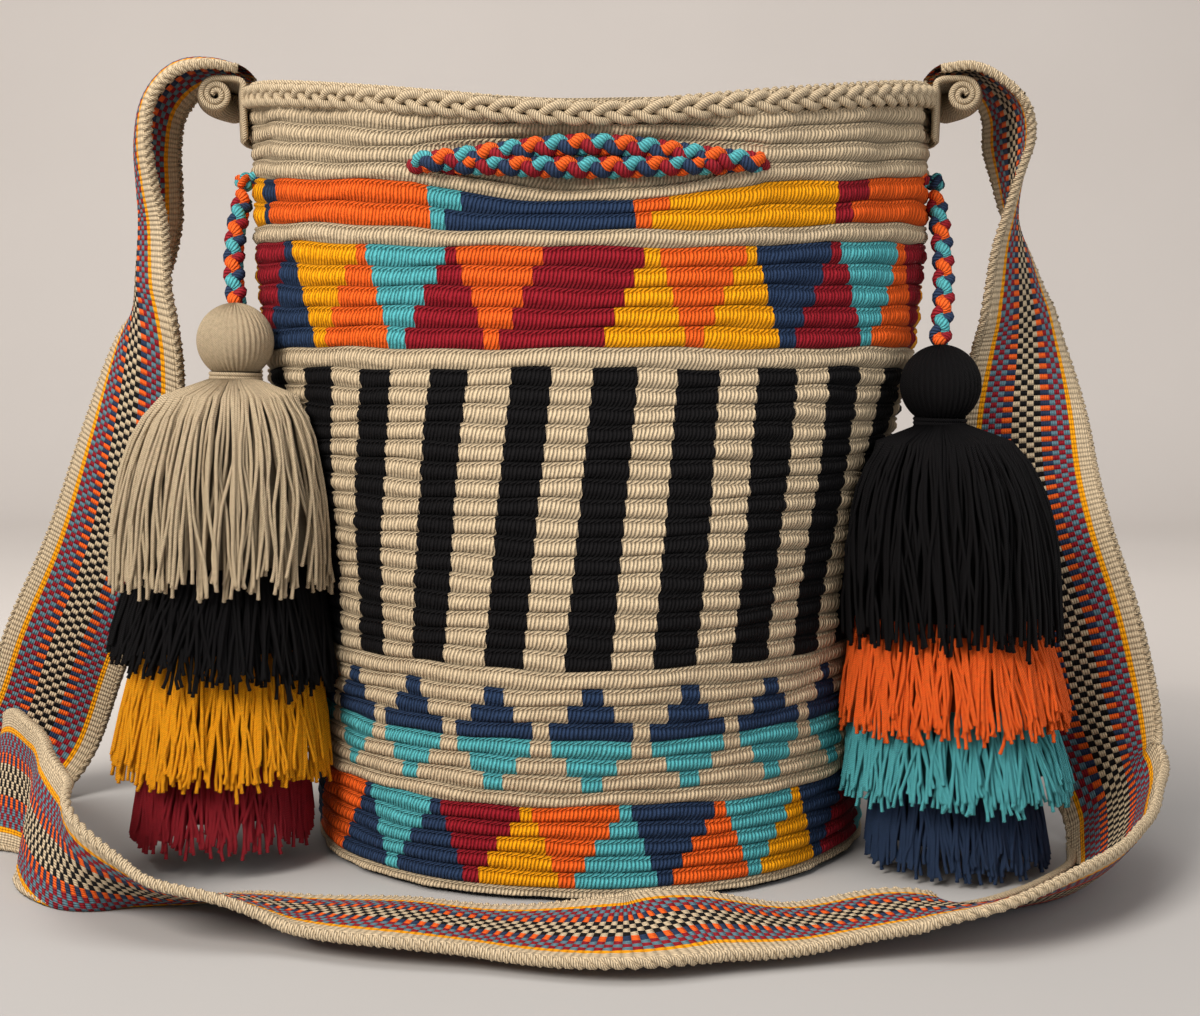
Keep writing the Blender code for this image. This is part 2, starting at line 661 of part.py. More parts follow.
def make_tier(tassel, index):
    """Make a lower tier: a bell with a bore for the core, nested in the tier above."""
    name, colour, bottom, radius = tassel.tiers[index]
    upper_bottom, upper_radius = tassel.tiers[index - 1][2:4]
    nested = min(radius, upper_radius - TIER_WALL) - 2 * GAP
    depth = index * (TIER_WALL + 2 * GAP)
    crown = upper_bottom + NEST_DEPTH
    ceiling = bottom + NEST_DEPTH + CEILING_RISE
    rings = [
        (crown, CORE_RADIUS + GAP, 0.0, False),
        (crown, 0.30 * nested, 0.0, False),
        (crown - 0.35 * NEST_DEPTH, 0.80 * nested, depth, False),
        (upper_bottom + GAP, nested - FLUTE_DEPTH, depth, False),
        (upper_bottom - TIER_STEP, 0.5 * (nested + radius), depth, True),
        (bottom, radius, depth, True),
        (bottom, radius - TIER_WALL, depth + TIER_WALL, False),
        (bottom + 0.65 * NEST_DEPTH, 0.98 * (radius - TIER_WALL), depth + TIER_WALL, False),
        (ceiling, 0.72 * (radius - TIER_WALL), depth + TIER_WALL, False),
        (ceiling, CORE_RADIUS + GAP, 0.0, False),
    ]
    vertices = []
    for height, ring_radius, ring_depth, fluted in rings:
        vertices += tassel_ring(tassel, height, ring_radius, ring_depth, fluted)
    faces = ring_faces(len(rings), TASSEL_SIDES, True)
    return new_object(name, vertices, faces, colour)


def make_tie(tassel, name, colour):
    """Make the yarn wound round the neck below the ball."""
    centre = tassel.axis(tassel.neck_height - NECK_LENGTH / 2)
    ring_radius = NECK_RADIUS + TIE_RADIUS + GAP
    sides = 8
    turns = 20
    vertices = []
    for turn in range(turns):
        angle = 2 * math.pi * turn / turns
        outward = Vector((math.cos(angle), math.sin(angle), 0))
        for side in range(sides):
            lift = 2 * math.pi * side / sides
            vertices.append(centre + outward * (ring_radius + TIE_RADIUS * math.cos(lift))
                            + Vector((0, 0, TIE_RADIUS * math.sin(lift))))
    return new_object(name, vertices, ring_faces(turns, sides, True), colour)


def make_core(tassel, name, colour):
    """Make the cord inside the tassel that carries its tiers, with an end knot."""
    top = tassel.axis(tassel.ball.z - CORE_TOP_DROP)
    end = tassel.axis(tassel.tiers[-1][2] + NEST_DEPTH - CORE_END_DROP)
    upright = (top - end).normalized()
    across = upright.cross(Vector((0, 1, 0))).normalized()
    forward = across.cross(upright)
    knot = CORE_KNOT_SHARE * CORE_RADIUS
    levels = [(0.0, CORE_RADIUS), ((top - end).length - knot, CORE_RADIUS),
              ((top - end).length - knot, knot), ((top - end).length, knot)]
    sides = 12
    vertices = []
    for travel, radius in levels:
        for side in range(sides):
            turn = 2 * math.pi * side / sides
            vertices.append(top - upright * travel + across * radius * math.cos(turn)
                            + forward * radius * math.sin(turn))
    start = len(vertices)
    vertices += [top, end]
    faces = ring_faces(len(levels), sides, False)
    faces += cap_faces(0, sides, start)
    faces += cap_faces(len(levels) - 1, sides, start + 1)
    return new_object(name, vertices, faces, colour)


def tail_route(tassel):
    """Return the free cord's centre line from its stopper knot to the tassel's ball."""
    knot = knot_centre(tassel.side)
    top = knot + Vector((0, -TAIL_FORWARD, -KNOT_RADIUS - 2 * GAP))
    ball_top = tassel.ball + (top - tassel.ball).normalized() * (tassel.ball_radius + TAIL_GAP)
    span = ball_top - top
    bow = Vector((tassel.side * TAIL_BOW, -TAIL_FORWARD, 0))
    middle = [top + span * share + bow * math.sin(math.pi * share) for share in (0.33, 0.67)]
    return smooth_path([top, *middle, ball_top], 3)


def make_tassel(tassel, prefix, tie_colour, core_colour):
    """Make one tassel with its free cord and hang it on an empty at the stopper knot."""
    head = make_head(tassel)
    pieces = [head]
    for index in range(1, len(tassel.tiers)):
        pieces.append(make_tier(tassel, index))
    pieces.append(make_tie(tassel, prefix + "_neck_tie", tie_colour))
    pieces.append(make_core(tassel, prefix + "_core_cord", core_colour))
    pieces.append(make_cord(prefix + "_tail_cord", tail_route(tassel), "orange"))
    pivot = bpy.data.objects.new(prefix + "_pivot", None)
    bpy.context.scene.collection.objects.link(pivot)
    pivot.location = knot_centre(tassel.side)
    bpy.context.view_layer.update()
    for piece in pieces:
        piece.parent = pivot
        piece.matrix_parent_inverse = pivot.matrix_world.inverted()


clear_scene()
bag = make_bag()
cut_eyelets(bag)
make_cord("drawstring", drawstring_route(), "turquoise")
make_ball("left_stopper_knot", knot_centre(-1), KNOT_RADIUS, "orange")
make_ball("right_stopper_knot", knot_centre(1), KNOT_RADIUS, "navy")
make_strap()
make_collar("left_strap_collar", -1)
make_collar("right_strap_collar", 1)
make_tassel(Tassel(-1, LEFT_BALL, LEFT_BALL_RADIUS, LEFT_FOOT, LEFT_TIERS),
            "left", "beige", "orange")
make_tassel(Tassel(1, RIGHT_BALL, RIGHT_BALL_RADIUS, RIGHT_FOOT, RIGHT_TIERS),
            "right", "black", "navy")
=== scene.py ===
"""Looks of the crocheted drawstring bag, its woven strap and its two tassels."""
import math

import bpy
import numpy as np
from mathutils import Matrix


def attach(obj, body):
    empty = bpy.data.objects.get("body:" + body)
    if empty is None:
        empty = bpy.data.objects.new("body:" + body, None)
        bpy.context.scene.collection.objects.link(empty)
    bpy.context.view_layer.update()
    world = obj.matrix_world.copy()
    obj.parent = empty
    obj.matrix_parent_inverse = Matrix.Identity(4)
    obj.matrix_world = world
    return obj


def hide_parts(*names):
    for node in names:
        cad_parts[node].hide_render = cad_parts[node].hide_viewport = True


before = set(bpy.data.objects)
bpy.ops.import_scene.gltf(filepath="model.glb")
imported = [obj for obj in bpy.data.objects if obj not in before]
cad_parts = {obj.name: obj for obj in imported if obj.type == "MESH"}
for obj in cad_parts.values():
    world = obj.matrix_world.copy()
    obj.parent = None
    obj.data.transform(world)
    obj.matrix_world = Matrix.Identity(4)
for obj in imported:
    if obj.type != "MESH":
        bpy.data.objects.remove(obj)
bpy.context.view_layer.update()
TURN = 2 * math.pi

# Camera.
# It stands in front of the bag at the photograph's height and distance, tipped a little down.
camera = bpy.data.objects.new("camera", bpy.data.cameras.new("camera"))
bpy.context.scene.collection.objects.link(camera)
camera.location = (0.0038, -0.670, 0.176)
camera.rotation_euler = (math.radians(90 - 4.64), 0, 0)
SENSOR_WIDTH, FOCAL_PIXELS, PICTURE_WIDTH = 36, 1762, 1200
camera.data.sensor_width = SENSOR_WIDTH
camera.data.lens = SENSOR_WIDTH * FOCAL_PIXELS / PICTURE_WIDTH
bpy.context.scene.camera = camera

# Floor, backdrop and lamps.
# The floor is pale and curves up into a warm plain wall behind the bag. One large soft lamp
# stands at the upper left, a weaker one fills from the right, and the world is a dim white.


def smooth_share(value):
    """Return 0 to 1 with level ends: 3 v squared minus 2 v cubed, for v held from 0 to 1."""
    value = np.clip(value, 0, 1)
    return value * value * (3 - 2 * value)


def grid_object(name, points, material, wrap_across=False, flip=False, uv=None, colours=None):
    """Make a mesh from points [along, across, xyz], with one quad between each four neighbours.

    uv has the same rows and may have one column more. colours holds one colour for each quad.
    """
    rows, cols = points.shape[:2]
    low = np.arange(rows - 1)[:, None]
    left = np.arange(cols if wrap_across else cols - 1)[None, :]
    right = (left + 1) % cols
    quads = np.stack((low * cols + left, low * cols + right,
                      (low + 1) * cols + right, (low + 1) * cols + left), -1)
    wide = np.stack(np.broadcast_arrays(left, left + 1, left + 1, left), -1)
    if flip:
        quads, wide = quads[..., ::-1], wide[..., ::-1]
    if uv is not None:
        uv = uv[quads // cols, np.minimum(wide, uv.shape[1] - 1)].reshape(-1, 2)
    return mesh_object(name, points.reshape(-1, 3), quads.reshape(-1, 4), material, uv, colours)


def mesh_object(name, vertices, quads, material, uv=None, colours=None):
    """Make a smooth mesh object from arrays of vertices, quads, corner uv and quad colours."""
    mesh = bpy.data.meshes.new(name)
    mesh.vertices.add(len(vertices))
    mesh.vertices.foreach_set("co", vertices.astype(np.float32).ravel())
    mesh.loops.add(quads.size)
    mesh.loops.foreach_set("vertex_index", quads.astype(np.int32).ravel())
    mesh.polygons.add(len(quads))
    mesh.polygons.foreach_set("loop_start", np.arange(0, quads.size, 4, dtype=np.int32))
    mesh.update(calc_edges=True)
    mesh.shade_smooth()
    if uv is not None:
        layer = mesh.uv_layers.new(name="weave")
        layer.uv.foreach_set("vector", uv.astype(np.float32).ravel())
    if colours is not None:
        layer = mesh.color_attributes.new(name="yarn", type="FLOAT_COLOR", domain="CORNER")
        full = np.ones((len(quads), 4, 4), dtype=np.float32)
        full[:, :, :3] = colours.reshape(-1, 1, 3)
        layer.data.foreach_set("color", full.ravel())
    mesh.materials.append(material)
    made = bpy.data.objects.new(name, mesh)
    bpy.context.scene.collection.objects.link(made)
    return made


def new_material(name, roughness, specular):
    """Make a material and return it with its node tree and its shader."""
    material = bpy.data.materials.new(name)
    material.use_nodes = True
    shader = material.node_tree.nodes["Principled BSDF"]
    shader.inputs["Roughness"].default_value = roughness
    shader.inputs["Specular IOR Level"].default_value = specular
    return material, material.node_tree, shader


def noise_share(tree, scale, detail=2):
    """Add noise in the object's own coordinates and return its factor."""
    noise = tree.nodes.new("ShaderNodeTexNoise")
    noise.inputs["Scale"].default_value = scale
    noise.inputs["Detail"].default_value = detail
    place = tree.nodes.new("ShaderNodeTexCoord")
    tree.links.new(place.outputs["Object"], noise.inputs["Vector"])
    return noise.outputs["Fac"]


def map_range(tree, value, start, to):
    """Move a value from the range start to the range to, held at both ends."""
    node = tree.nodes.new("ShaderNodeMapRange")
    for name, limit in zip(("From Min", "From Max", "To Min", "To Max"), (*start, *to)):
        node.inputs[name].default_value = limit
    tree.links.new(value, node.inputs["Value"])
    return node.outputs["Result"]


def multiplied(tree, colour, share):
    """Multiply a colour, three numbers or an output, by a share and return the output."""
    mix = tree.nodes.new("ShaderNodeMix")
    mix.data_type = "RGBA"
    mix.blend_type = "MULTIPLY"
    mix.inputs["Factor"].default_value = 1.0
    if isinstance(colour, tuple):
        mix.inputs[6].default_value = (*colour, 1)
    else:
        tree.links.new(colour, mix.inputs[6])
    tree.links.new(share, mix.inputs[7])
    return mix.outputs[2]


def paint_material():
    """Make a matt painted surface: a grey-white floor that turns warmer behind the bag."""
    material, tree, shader = new_material("backdrop_paint", 0.8, 0.5)
    where = tree.nodes.new("ShaderNodeTexCoord")
    split = tree.nodes.new("ShaderNodeSeparateXYZ")
    tree.links.new(where.outputs["Object"], split.inputs[0])
    base = tree.nodes.new("ShaderNodeMix")
    base.data_type = "RGBA"
    base.inputs[6].default_value = (0.385, 0.375, 0.372, 1)
    base.inputs[7].default_value = (0.665, 0.625, 0.600, 1)
    tree.links.new(map_range(tree, split.outputs[1], (0.02, 0.30), (0, 1)), base.inputs["Factor"])
    spots = map_range(tree, noise_share(tree, 3, 6), (0, 1), (0.95, 1.05))
    tree.links.new(multiplied(tree, base.outputs[2], spots), shader.inputs["Base Color"])
    return material


FLOOR_NEAR, FLOOR_FAR, BEND, WALL_RISE, HALF_SWEEP = -1.6, 1.75, 0.5, 2.2, 2.8
travel = np.linspace(0, 1, 60)
arc = np.clip((travel - 0.5) / 0.3, 0, 1) * math.pi / 2
flat = travel < 0.5
depth = np.where(flat, FLOOR_NEAR + (FLOOR_FAR - BEND - FLOOR_NEAR) * travel * 2,
                 FLOOR_FAR - BEND + BEND * np.sin(arc))
rise = np.where(flat, 0, BEND * (1 - np.cos(arc))) + np.clip((travel - 0.8) / 0.2, 0, 1) * WALL_RISE
sweep = np.stack([np.stack((np.full(60, side * HALF_SWEEP), depth, rise), -1) for side in (-1, 1)], 1)
backdrop = grid_object("floor_and_backdrop", sweep, paint_material())
for name, place, aim, size, power, colour in (
        ("key_lamp", (-1.0, -1.25, 1.25), (0, 0, 0.12), 0.9, 43, (1.0, 0.945, 0.87)),
        ("fill_lamp", (1.5, -1.0, 0.8), (0, 0, 0.12), 1.6, 9, (0.95, 0.97, 1.0)),
        ("top_lamp", (-0.1, -0.15, 1.5), (0, 0, 0.1), 0.9, 9, (1.0, 0.96, 0.90))):
    lamp = bpy.data.objects.new(name, bpy.data.lights.new(name, "AREA"))
    bpy.context.scene.collection.objects.link(lamp)
    lamp.location = place
    reach = np.array(aim) - np.array(place)
    lamp.rotation_euler = (math.acos(-reach[2] / np.linalg.norm(reach)), 0,
                           math.atan2(reach[1], reach[0]) - math.pi / 2)
    lamp.data.size = size
    lamp.data.energy = power
    lamp.data.color = colour
world = bpy.data.worlds.new("studio")
bpy.context.scene.world = world
world.use_nodes = True
world.node_tree.nodes["Background"].inputs["Color"].default_value = (1.0, 0.97, 0.94, 1)
world.node_tree.nodes["Background"].inputs["Strength"].default_value = 0.42
bpy.context.scene.view_settings.view_transform = "Standard"

# Yarn materials.
# Mercerised cotton in eight colours. Each strand is plied: slanting ridges run round it, with fine loose
# fibres between. One node group gives the ridges to every colour, and its Shade paints shade into the
# colour between the ridges.
COLOURS = {
    "beige": (0.590, 0.465, 0.308), "orange": (0.850, 0.120, 0.014),
    "turquoise": (0.085, 0.400, 0.440), "navy": (0.020, 0.040, 0.092),
    "burgundy": (0.270, 0.010, 0.019), "yellow": (0.880, 0.350, 0.004),
    "black": (0.0045, 0.0040, 0.0048), "slate": (0.110, 0.210, 0.260),
}


def math_node(tree, operation, first, second=None):
    """Add one Math node and link or set its two inputs, and return its output."""
    node = tree.nodes.new("ShaderNodeMath")
    node.operation = operation
    for socket, value in zip(node.inputs, (first, second)):
        if value is None:
            continue
        if isinstance(value, (int, float)):
            socket.default_value = value
        else:
            tree.links.new(value, socket)
    return node.outputs[0]


def weighted_sum(tree, *terms):
    """Add up outputs, each multiplied by its weight, and return the sum."""
    total = None
    for value, weight in terms:
        part = math_node(tree, "MULTIPLY", value, weight)
        total = part if total is None else math_node(tree, "ADD", total, part)
    return total


def ridges_along(tree, value, rate):
    """Return round ridges: the absolute sine of the value times the rate."""
    wave = math_node(tree, "SINE", math_node(tree, "MULTIPLY", value, rate))
    return math_node(tree, "ABSOLUTE", wave)


def weave_uv(tree):
    """Read the strand's or the cloth's own uv and return its two parts."""
    weave = tree.nodes.new("ShaderNodeUVMap")
    weave.uv_map = "weave"
    split = tree.nodes.new("ShaderNodeSeparateXYZ")
    tree.links.new(weave.outputs["UV"], split.inputs[0])
    return split.outputs[0], split.outputs[1]


ply = bpy.data.node_groups.new("ply", "ShaderNodeTree")
for socket in ("Shade", "Height"):
    ply.interface.new_socket(socket, in_out="OUTPUT", socket_type="NodeSocketFloat")
around, along = weave_uv(ply)
fibres = noise_share(ply, 900, 3)
slant = ridges_along(ply, weighted_sum(ply, (around, 2.0), (along, 0.62)), TURN)
# Shade is painted shade: it darkens the colour between the slanting ridges, and the fibres' noise varies
# the tone.
ply_out = ply.nodes.new("NodeGroupOutput")
ply.links.new(weighted_sum(ply, (slant, 0.35), (fibres, 0.5)), ply_out.inputs["Shade"])
ply.links.new(weighted_sum(ply, (slant, 1.0), (fibres, 0.5)), ply_out.inputs["Height"])


def shade_links(tree, shader, shade, height, colour, strength, distance):
    """Darken the colour as painted shade where shade is low and lighten it a little as painted light where
    it is high, and feed height to the shader through a bump.
    """
    tone = map_range(tree, shade, (0.1, 0.65), (0.42, 1.12))
    tree.links.new(multiplied(tree, colour, tone), shader.inputs["Base Color"])
    bump = tree.nodes.new("ShaderNodeBump")
    bump.inputs["Strength"].default_value = strength
    bump.inputs["Distance"].default_value = distance
    tree.links.new(height, bump.inputs["Height"])
    tree.links.new(bump.outputs["Normal"], shader.inputs["Normal"])


def yarn_material(colour):
    """Return the plied yarn material of one colour, made once."""
    name = "plied_" + colour
    if name in bpy.data.materials:
        return bpy.data.materials[name]
    material, tree, shader = new_material(name, 0.7, 0.10 if colour == "black" else 0.18)
    group = tree.nodes.new("ShaderNodeGroup")
    group.node_tree = ply
    shade_links(tree, shader, group.outputs["Shade"], group.outputs["Height"],
                COLOURS[colour], 0.9, 0.0005)
    return material


def shadow_material(colour):
    """Return the same yarn darkened to 0.35 of its colour: painted shade for where it lies deep inside a
    tassel and little light reaches it.
    """
    name = "painted_shade_" + colour
    if name not in bpy.data.materials:
        deep = yarn_material(colour).copy()
        deep.name = name
        for node in deep.node_tree.nodes:
            if node.type == "MIX":
                node.inputs[6].default_value = (*[0.35 * part for part in COLOURS[colour]], 1)
    return bpy.data.materials[name]


def unit(vectors):
    """Return the vectors divided by their lengths."""
    return vectors / np.maximum(np.linalg.norm(vectors, axis=-1, keepdims=True), 1e-9)


def tube_object(name, paths, radius, sides, material, reference, knob=1.0):
    """Make round strands along paths [strand, along, xyz] of the given radius.

    Each ring is the path's point plus radius times cosine and sine of the turn, along two
    directions square to the path. Both ends close, and the last stretch widens by knob.
    """
    strands, count = paths.shape[:2]
    ahead = unit(np.gradient(paths, axis=1))
    across = unit(np.cross(ahead, reference))
    upright = np.cross(across, ahead)
    turn = TURN * np.arange(sides) / sides
    scale = np.ones(count)
    scale[-2] = knob
    scale[[0, -1]] = 0.02
    size = radius * scale[None, :, None, None]
    rings = paths[:, :, None] + size * (across[:, :, None] * np.cos(turn)[:, None]
                                        + upright[:, :, None] * np.sin(turn)[:, None])
    start = np.arange(strands)[:, None, None] * count * sides
    low = start + np.arange(count - 1)[None, :, None] * sides
    left = np.arange(sides)[None, None, :]
    right = (left + 1) % sides
    quads = np.stack(np.broadcast_arrays(low + left, low + right, low + sides + right,
                                         low + sides + left), -1)
    length = np.concatenate((np.zeros((strands, 1)), np.cumsum(
        np.linalg.norm(np.diff(paths, axis=1), axis=-1), axis=1)), axis=1) * 1000
    v_low = np.broadcast_to(length[:, :-1, None], quads.shape[:3])
    v_high = np.broadcast_to(length[:, 1:, None], quads.shape[:3])
    u_left = np.broadcast_to(left / sides, quads.shape[:3])
    uv = np.stack((np.stack((u_left, v_low), -1), np.stack((u_left + 1 / sides, v_low), -1),
                   np.stack((u_left + 1 / sides, v_high), -1), np.stack((u_left, v_high), -1)), -2)
    return mesh_object(name, rings.reshape(-1, 3), quads[..., ::-1].reshape(-1, 4), material,
                       uv[..., ::-1, :].reshape(-1, 2))


def smooth_path(points, steps):
    """Return a smooth curve through rows of points: a cubic between each two, whose slope at a
    point is half the step from the point before to the point after."""
    points = np.asarray(points, dtype=float)
    padded = np.vstack((2 * points[0] - points[1], points, 2 * points[-1] - points[-2]))
    t = (np.arange(steps) / steps)[None, :, None]
    before, start, end, after = (padded[i:len(padded) - 3 + i, None] for i in range(4))
    curve = 0.5 * (2 * start + (end - before) * t
                   + (2 * before - 5 * start + 4 * end - after) * t * t
                   + (3 * start - before - 3 * end + after) * t ** 3)
    return np.vstack((curve.reshape(-1, points.shape[1]), points[-1]))


def travelled(path):
    """Return the distance from the path's start to each of its points."""
    return np.append(0, np.cumsum(np.linalg.norm(np.diff(path, axis=0), axis=1)))


def even_path(curve, spacing, columns=3):
    """Return the curve at even distances, measured along its first columns."""
    length = travelled(curve[:, :columns])
    count = max(2, int(round(length[-1] / spacing)) + 1)
    at = np.linspace(0, length[-1], count)
    return np.stack([np.interp(at, length, curve[:, k]) for k in range(curve.shape[1])], -1)


# The shape of the crocheted tube.
# Its girth stays the same from base to rim while the strap pulls the mouth into an oval. The
# rows sag between the two ends of the strap, and most in the middle of the front.
BAG_HEIGHT, MEAN_RADIUS, WALL, CORNER, LINING_GAP = 0.280, 0.1045, 0.0035, 0.0035, 0.0011
MOUTH, WAIST = 0.127, 0.0995
STITCHES = 240
shape_share = np.linspace(0, 1, 561)
shape_spread = np.interp(shape_share, (0, 0.12, 0.25, 0.36, 0.45, 0.52, 0.64, 0.80, 1.0),
                         (0.15, 0.15, 0.0, 0.13, 0.345, 0.51, 0.83, 0.93, 1.0))
kernel = np.exp(-np.linspace(-2, 2, 41) ** 2)
shape_spread = np.convolve(np.pad(shape_spread, 20, mode="edge"), kernel / kernel.sum(), "valid")


def half_width(height):
    """Return the half width along X: the waist plus a share of what the mouth is wider."""
    return WAIST + (MOUTH - WAIST) * np.interp(height / BAG_HEIGHT, shape_share, shape_spread)


def half_depth(height):
    """Return the half depth along Y that keeps the girth: root of 2 R squared less a squared."""
    return np.sqrt(2 * MEAN_RADIUS ** 2 - half_width(height) ** 2)


SLIT_HEIGHT, SLIT_HALF, SAG_START, SAG = 0.2450, 0.060, 0.63, 0.0125
FRONT_DIP, DIP_HALF, DENT, DENT_HEIGHT, DENT_HALF = 0.0030, 0.045, 0.0030, 0.2452, 0.0115


def wall_point(angle, height, offset, opening=0.0):
    """Return points of the wall moved out by offset, with the rows' sag and the drawstring's
    dent: an ellipse at each height, lowered by sine squared of the angle. Rows above and below
    the slit for the drawstring are pushed apart by opening times a lens shape."""
    share = (height / BAG_HEIGHT - SAG_START) / (1 - SAG_START)
    dip = np.exp(-(np.cos(angle) * MOUTH / DIP_HALF) ** 2) * (np.sin(angle) < 0)
    z = height - (np.maximum(share, 0) * SAG * np.sin(angle) ** 2
                  + FRONT_DIP * dip * smooth_share(2 * share - 1))
    middle = np.clip(1 - (np.cos(angle) * half_width(height) / SLIT_HALF) ** 2, 0, 1)
    dent = DENT * middle * np.exp(-((z - DENT_HEIGHT) / DENT_HALF) ** 2)
    lens = middle ** 0.8
    away = z - SLIT_HEIGHT
    dent = dent + 0.6 * opening * lens * np.exp(-(away / 0.0022) ** 2)
    z = z + opening * lens * np.tanh(away / 0.0012) * np.exp(-(away / 0.017) ** 2)
    out = offset - dent
    return np.stack(((half_width(height) + out) * np.cos(angle),
                     (half_depth(height) + out) * np.sin(angle), z), -1)


def level_point(angle, z, offset):
    """Return points of the wall at a real height, by stepping the row's height until it fits."""
    height = np.array(z, dtype=float)
    for _ in range(8):
        height = height + (z - wall_point(angle, height, offset)[..., 2])
    return wall_point(angle, height, offset)


# Drawstring and free cords.
# One round braid of four cotton strands runs one and a half times round the mouth, out through
# the wall across the front and the back. Its two ends are knotted outside the side eyelets, and a
# short free cord hangs from each knot to its tassel. Strand radius and lay give the lozenges.
CORD_RADIUS, STRAND_PITCH, STRAND_HEIGHT, TOUCH = 0.0036, 0.0076, 0.2490, 0.0006
BRAID_STRAND, BRAID_LAY, BRAID_LIFT, BRAID_SWAY = 0.00215, 0.0152, 0.00130, 0.00085
exit_angle = math.asin(0.009 / half_depth(STRAND_HEIGHT))
whole = 3 * math.pi - 2 * exit_angle


def drawstring_path(count):
    """Return the cord's centre line: the wall's ellipse moved in, or out across the front,
    the back and the two ends. The two strands at the front meet at the ends of the slit."""
    trip = whole * np.linspace(0, 1, count)
    angle = math.pi + exit_angle + trip
    z = STRAND_HEIGHT - STRAND_PITCH * smooth_share((trip - 0.40 * whole) / (0.22 * whole))
    x = np.cos(angle) * half_width(STRAND_HEIGHT)
    lower = trip > 0.6 * whole
    front = np.sin(angle) < 0
    spread = smooth_share(np.abs(x) / SLIT_HALF) * front
    z = z + np.where(lower, 0.0022, -0.0052) * spread
    share = smooth_share((SLIT_HALF - 0.012 * lower + 0.008 - np.abs(x)) / 0.016)
    end_turn = 0.020 / MOUTH
    ends = 1 - smooth_share(np.minimum(trip, whole - trip) / end_turn)
    share = np.maximum(share, ends)
    inside, outside = -(WALL + LINING_GAP + CORD_RADIUS + TOUCH), CORD_RADIUS - TOUCH
    return level_point(angle, z, inside + (outside - inside) * share)


def braid(name, path, reference, body, nodes, phase=0.0):
    """Make a round braid of four strands: two turn left and two turn right round the path, and
    each moves out and in twice a turn, by the sine of twice its angle, to pass over and under."""
    ahead = unit(np.gradient(path, axis=0))
    across = unit(np.cross(ahead, reference))
    upright = np.cross(across, ahead)
    turn = TURN * travelled(path) / BRAID_LAY
    pieces = []
    for index, colour in enumerate(("turquoise", "navy", "orange", "burgundy")):
        way = 1 if index % 2 == 0 else -1
        angle = way * turn + phase + math.pi * (index // 2) + (0.5 * math.pi if way < 0 else 0)
        lift = BRAID_LIFT + BRAID_SWAY * way * np.sin(2 * turn)
        strand = path + lift[:, None] * (np.cos(angle)[:, None] * across
                                         + np.sin(angle)[:, None] * upright)
        piece = tube_object(f"{name}_{colour}", strand[None], BRAID_STRAND, 8,
                            yarn_material(colour), reference)
        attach(piece, body)
        pieces.append(piece)
    if nodes:
        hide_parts(*nodes)
    return pieces


KNOT_INSET, KNOT_RADIUS, KNOT_SCALE, KNOT_STRAND = 0.0035, 0.0042, 0.00092, 0.00145
cord_line = even_path(drawstring_path(1500), 0.0011)
cord_line = cord_line[np.abs(cord_line[:, 0]) < np.abs(cord_line[:, 0]).max() - KNOT_INSET]
braid("drawstring_strand", cord_line, (0, 0, 1), "root", ["drawstring"])


def knot_centre(side):
    """Return the centre of a stopper knot, one knot radius beyond the cord's end."""
    coarse = drawstring_path(78)
    end, before = (coarse[0], coarse[1]) if side < 0 else (coarse[-1], coarse[-2])
    return end + unit(end - before) * (KNOT_RADIUS + 0.0003) - np.array((side * KNOT_INSET, 0, 0))


def tail_path(side, ball, radius):
    """Return a free cord's centre line from its stopper knot to the tassel's ball."""
    top = knot_centre(side) + np.array((0, -0.001, -KNOT_RADIUS - TOUCH))
    ball = np.array(ball)
    low = ball + unit(top - ball) * (radius + TOUCH)
    bow = np.array((side * 0.0022, -0.001, 0))
    share = np.array((0, 0.33, 0.67, 1.0))[:, None]
    bend_share = np.sin(math.pi * share) * (share < 1)
    return smooth_path(top + (low - top) * share + bow * bend_share, 40)


BALLS = {-1: ((-0.126, -0.040, 0.1845), 0.0135), 1: ((0.1245, -0.044, 0.1690), 0.0142)}
for side, prefix, colour in ((-1, "left", "orange"), (1, "right", "navy")):
    body = prefix + "_tassel"
    route = even_path(tail_path(side, *BALLS[side]), 0.0009)
    strands = braid(prefix + "_tail_strand", route, (0, 1, 0.2), body, [prefix + "_tail_cord"],
                    phase=0.6)
    joined = strands[0]
    with bpy.context.temp_override(active_object=joined, selected_editable_objects=strands,
                                   selected_objects=strands):
        bpy.ops.object.join()
    joined.name = prefix + "_tail_braid"
    # Stopper knot: a small closed overhand knot, one strand wound as a trefoil.
    turn = np.linspace(0, TURN, 121)
    loop = np.stack((np.sin(turn) + 2 * np.sin(2 * turn), np.cos(turn) - 2 * np.cos(2 * turn),
                     -1.4 * np.sin(3 * turn)), -1) * KNOT_SCALE
    for index, (size, yarn_name) in enumerate(((1.0, colour), (0.86, "turquoise"))):
        spun = loop * size
        if index:
            spun = spun[:, (1, 2, 0)]
        knot = tube_object(f"{prefix}_knot_{index}", (spun + knot_centre(side))[None],
                           KNOT_STRAND, 8, yarn_material(yarn_name), (0.3, 0.5, 0.8))
        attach(knot, "root")
        if index == 0:
            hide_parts(prefix + "_stopper_knot")

# Crocheted wall.
# Cotton worked round and round in single stitches, 240 to a row, with the colours carried along.
# Each stitch leans a little, so the upright colour edges lean too, and each row is a rounded
# ridge. The patterns are colour by rule: blocks, triangles, stripes and stepped diamonds.
ROW_GROUPS = ((0.2708, 4), (0.2442, 2), (0.2276, 1), (0.2208, 5), (0.1823, 1), (0.1750, 16),
              (0.0777, 1), (0.0716, 6), (0.0371, 1), (0.0321, 5), (0.0047, 1), (0.0004, 0))
LEAN = -0.22
row_tops = np.concatenate([np.linspace(top, ROW_GROUPS[index + 1][0], count + 1)[:-1]
                           for index, (top, count) in enumerate(ROW_GROUPS[:-1])] + [[0.0004]])
PALETTE = np.array(list(COLOURS.values()))
B, O, T, N, R, Y, K, S = range(8)
BLOCKS = np.array((-120, -97.5, -93, -74.5, -70, -49.9, -45.5, -20.4, -15.8, 5.6, 10.1, 33, 38.5,
                   61, 65.5, 88, 92.5, 115))
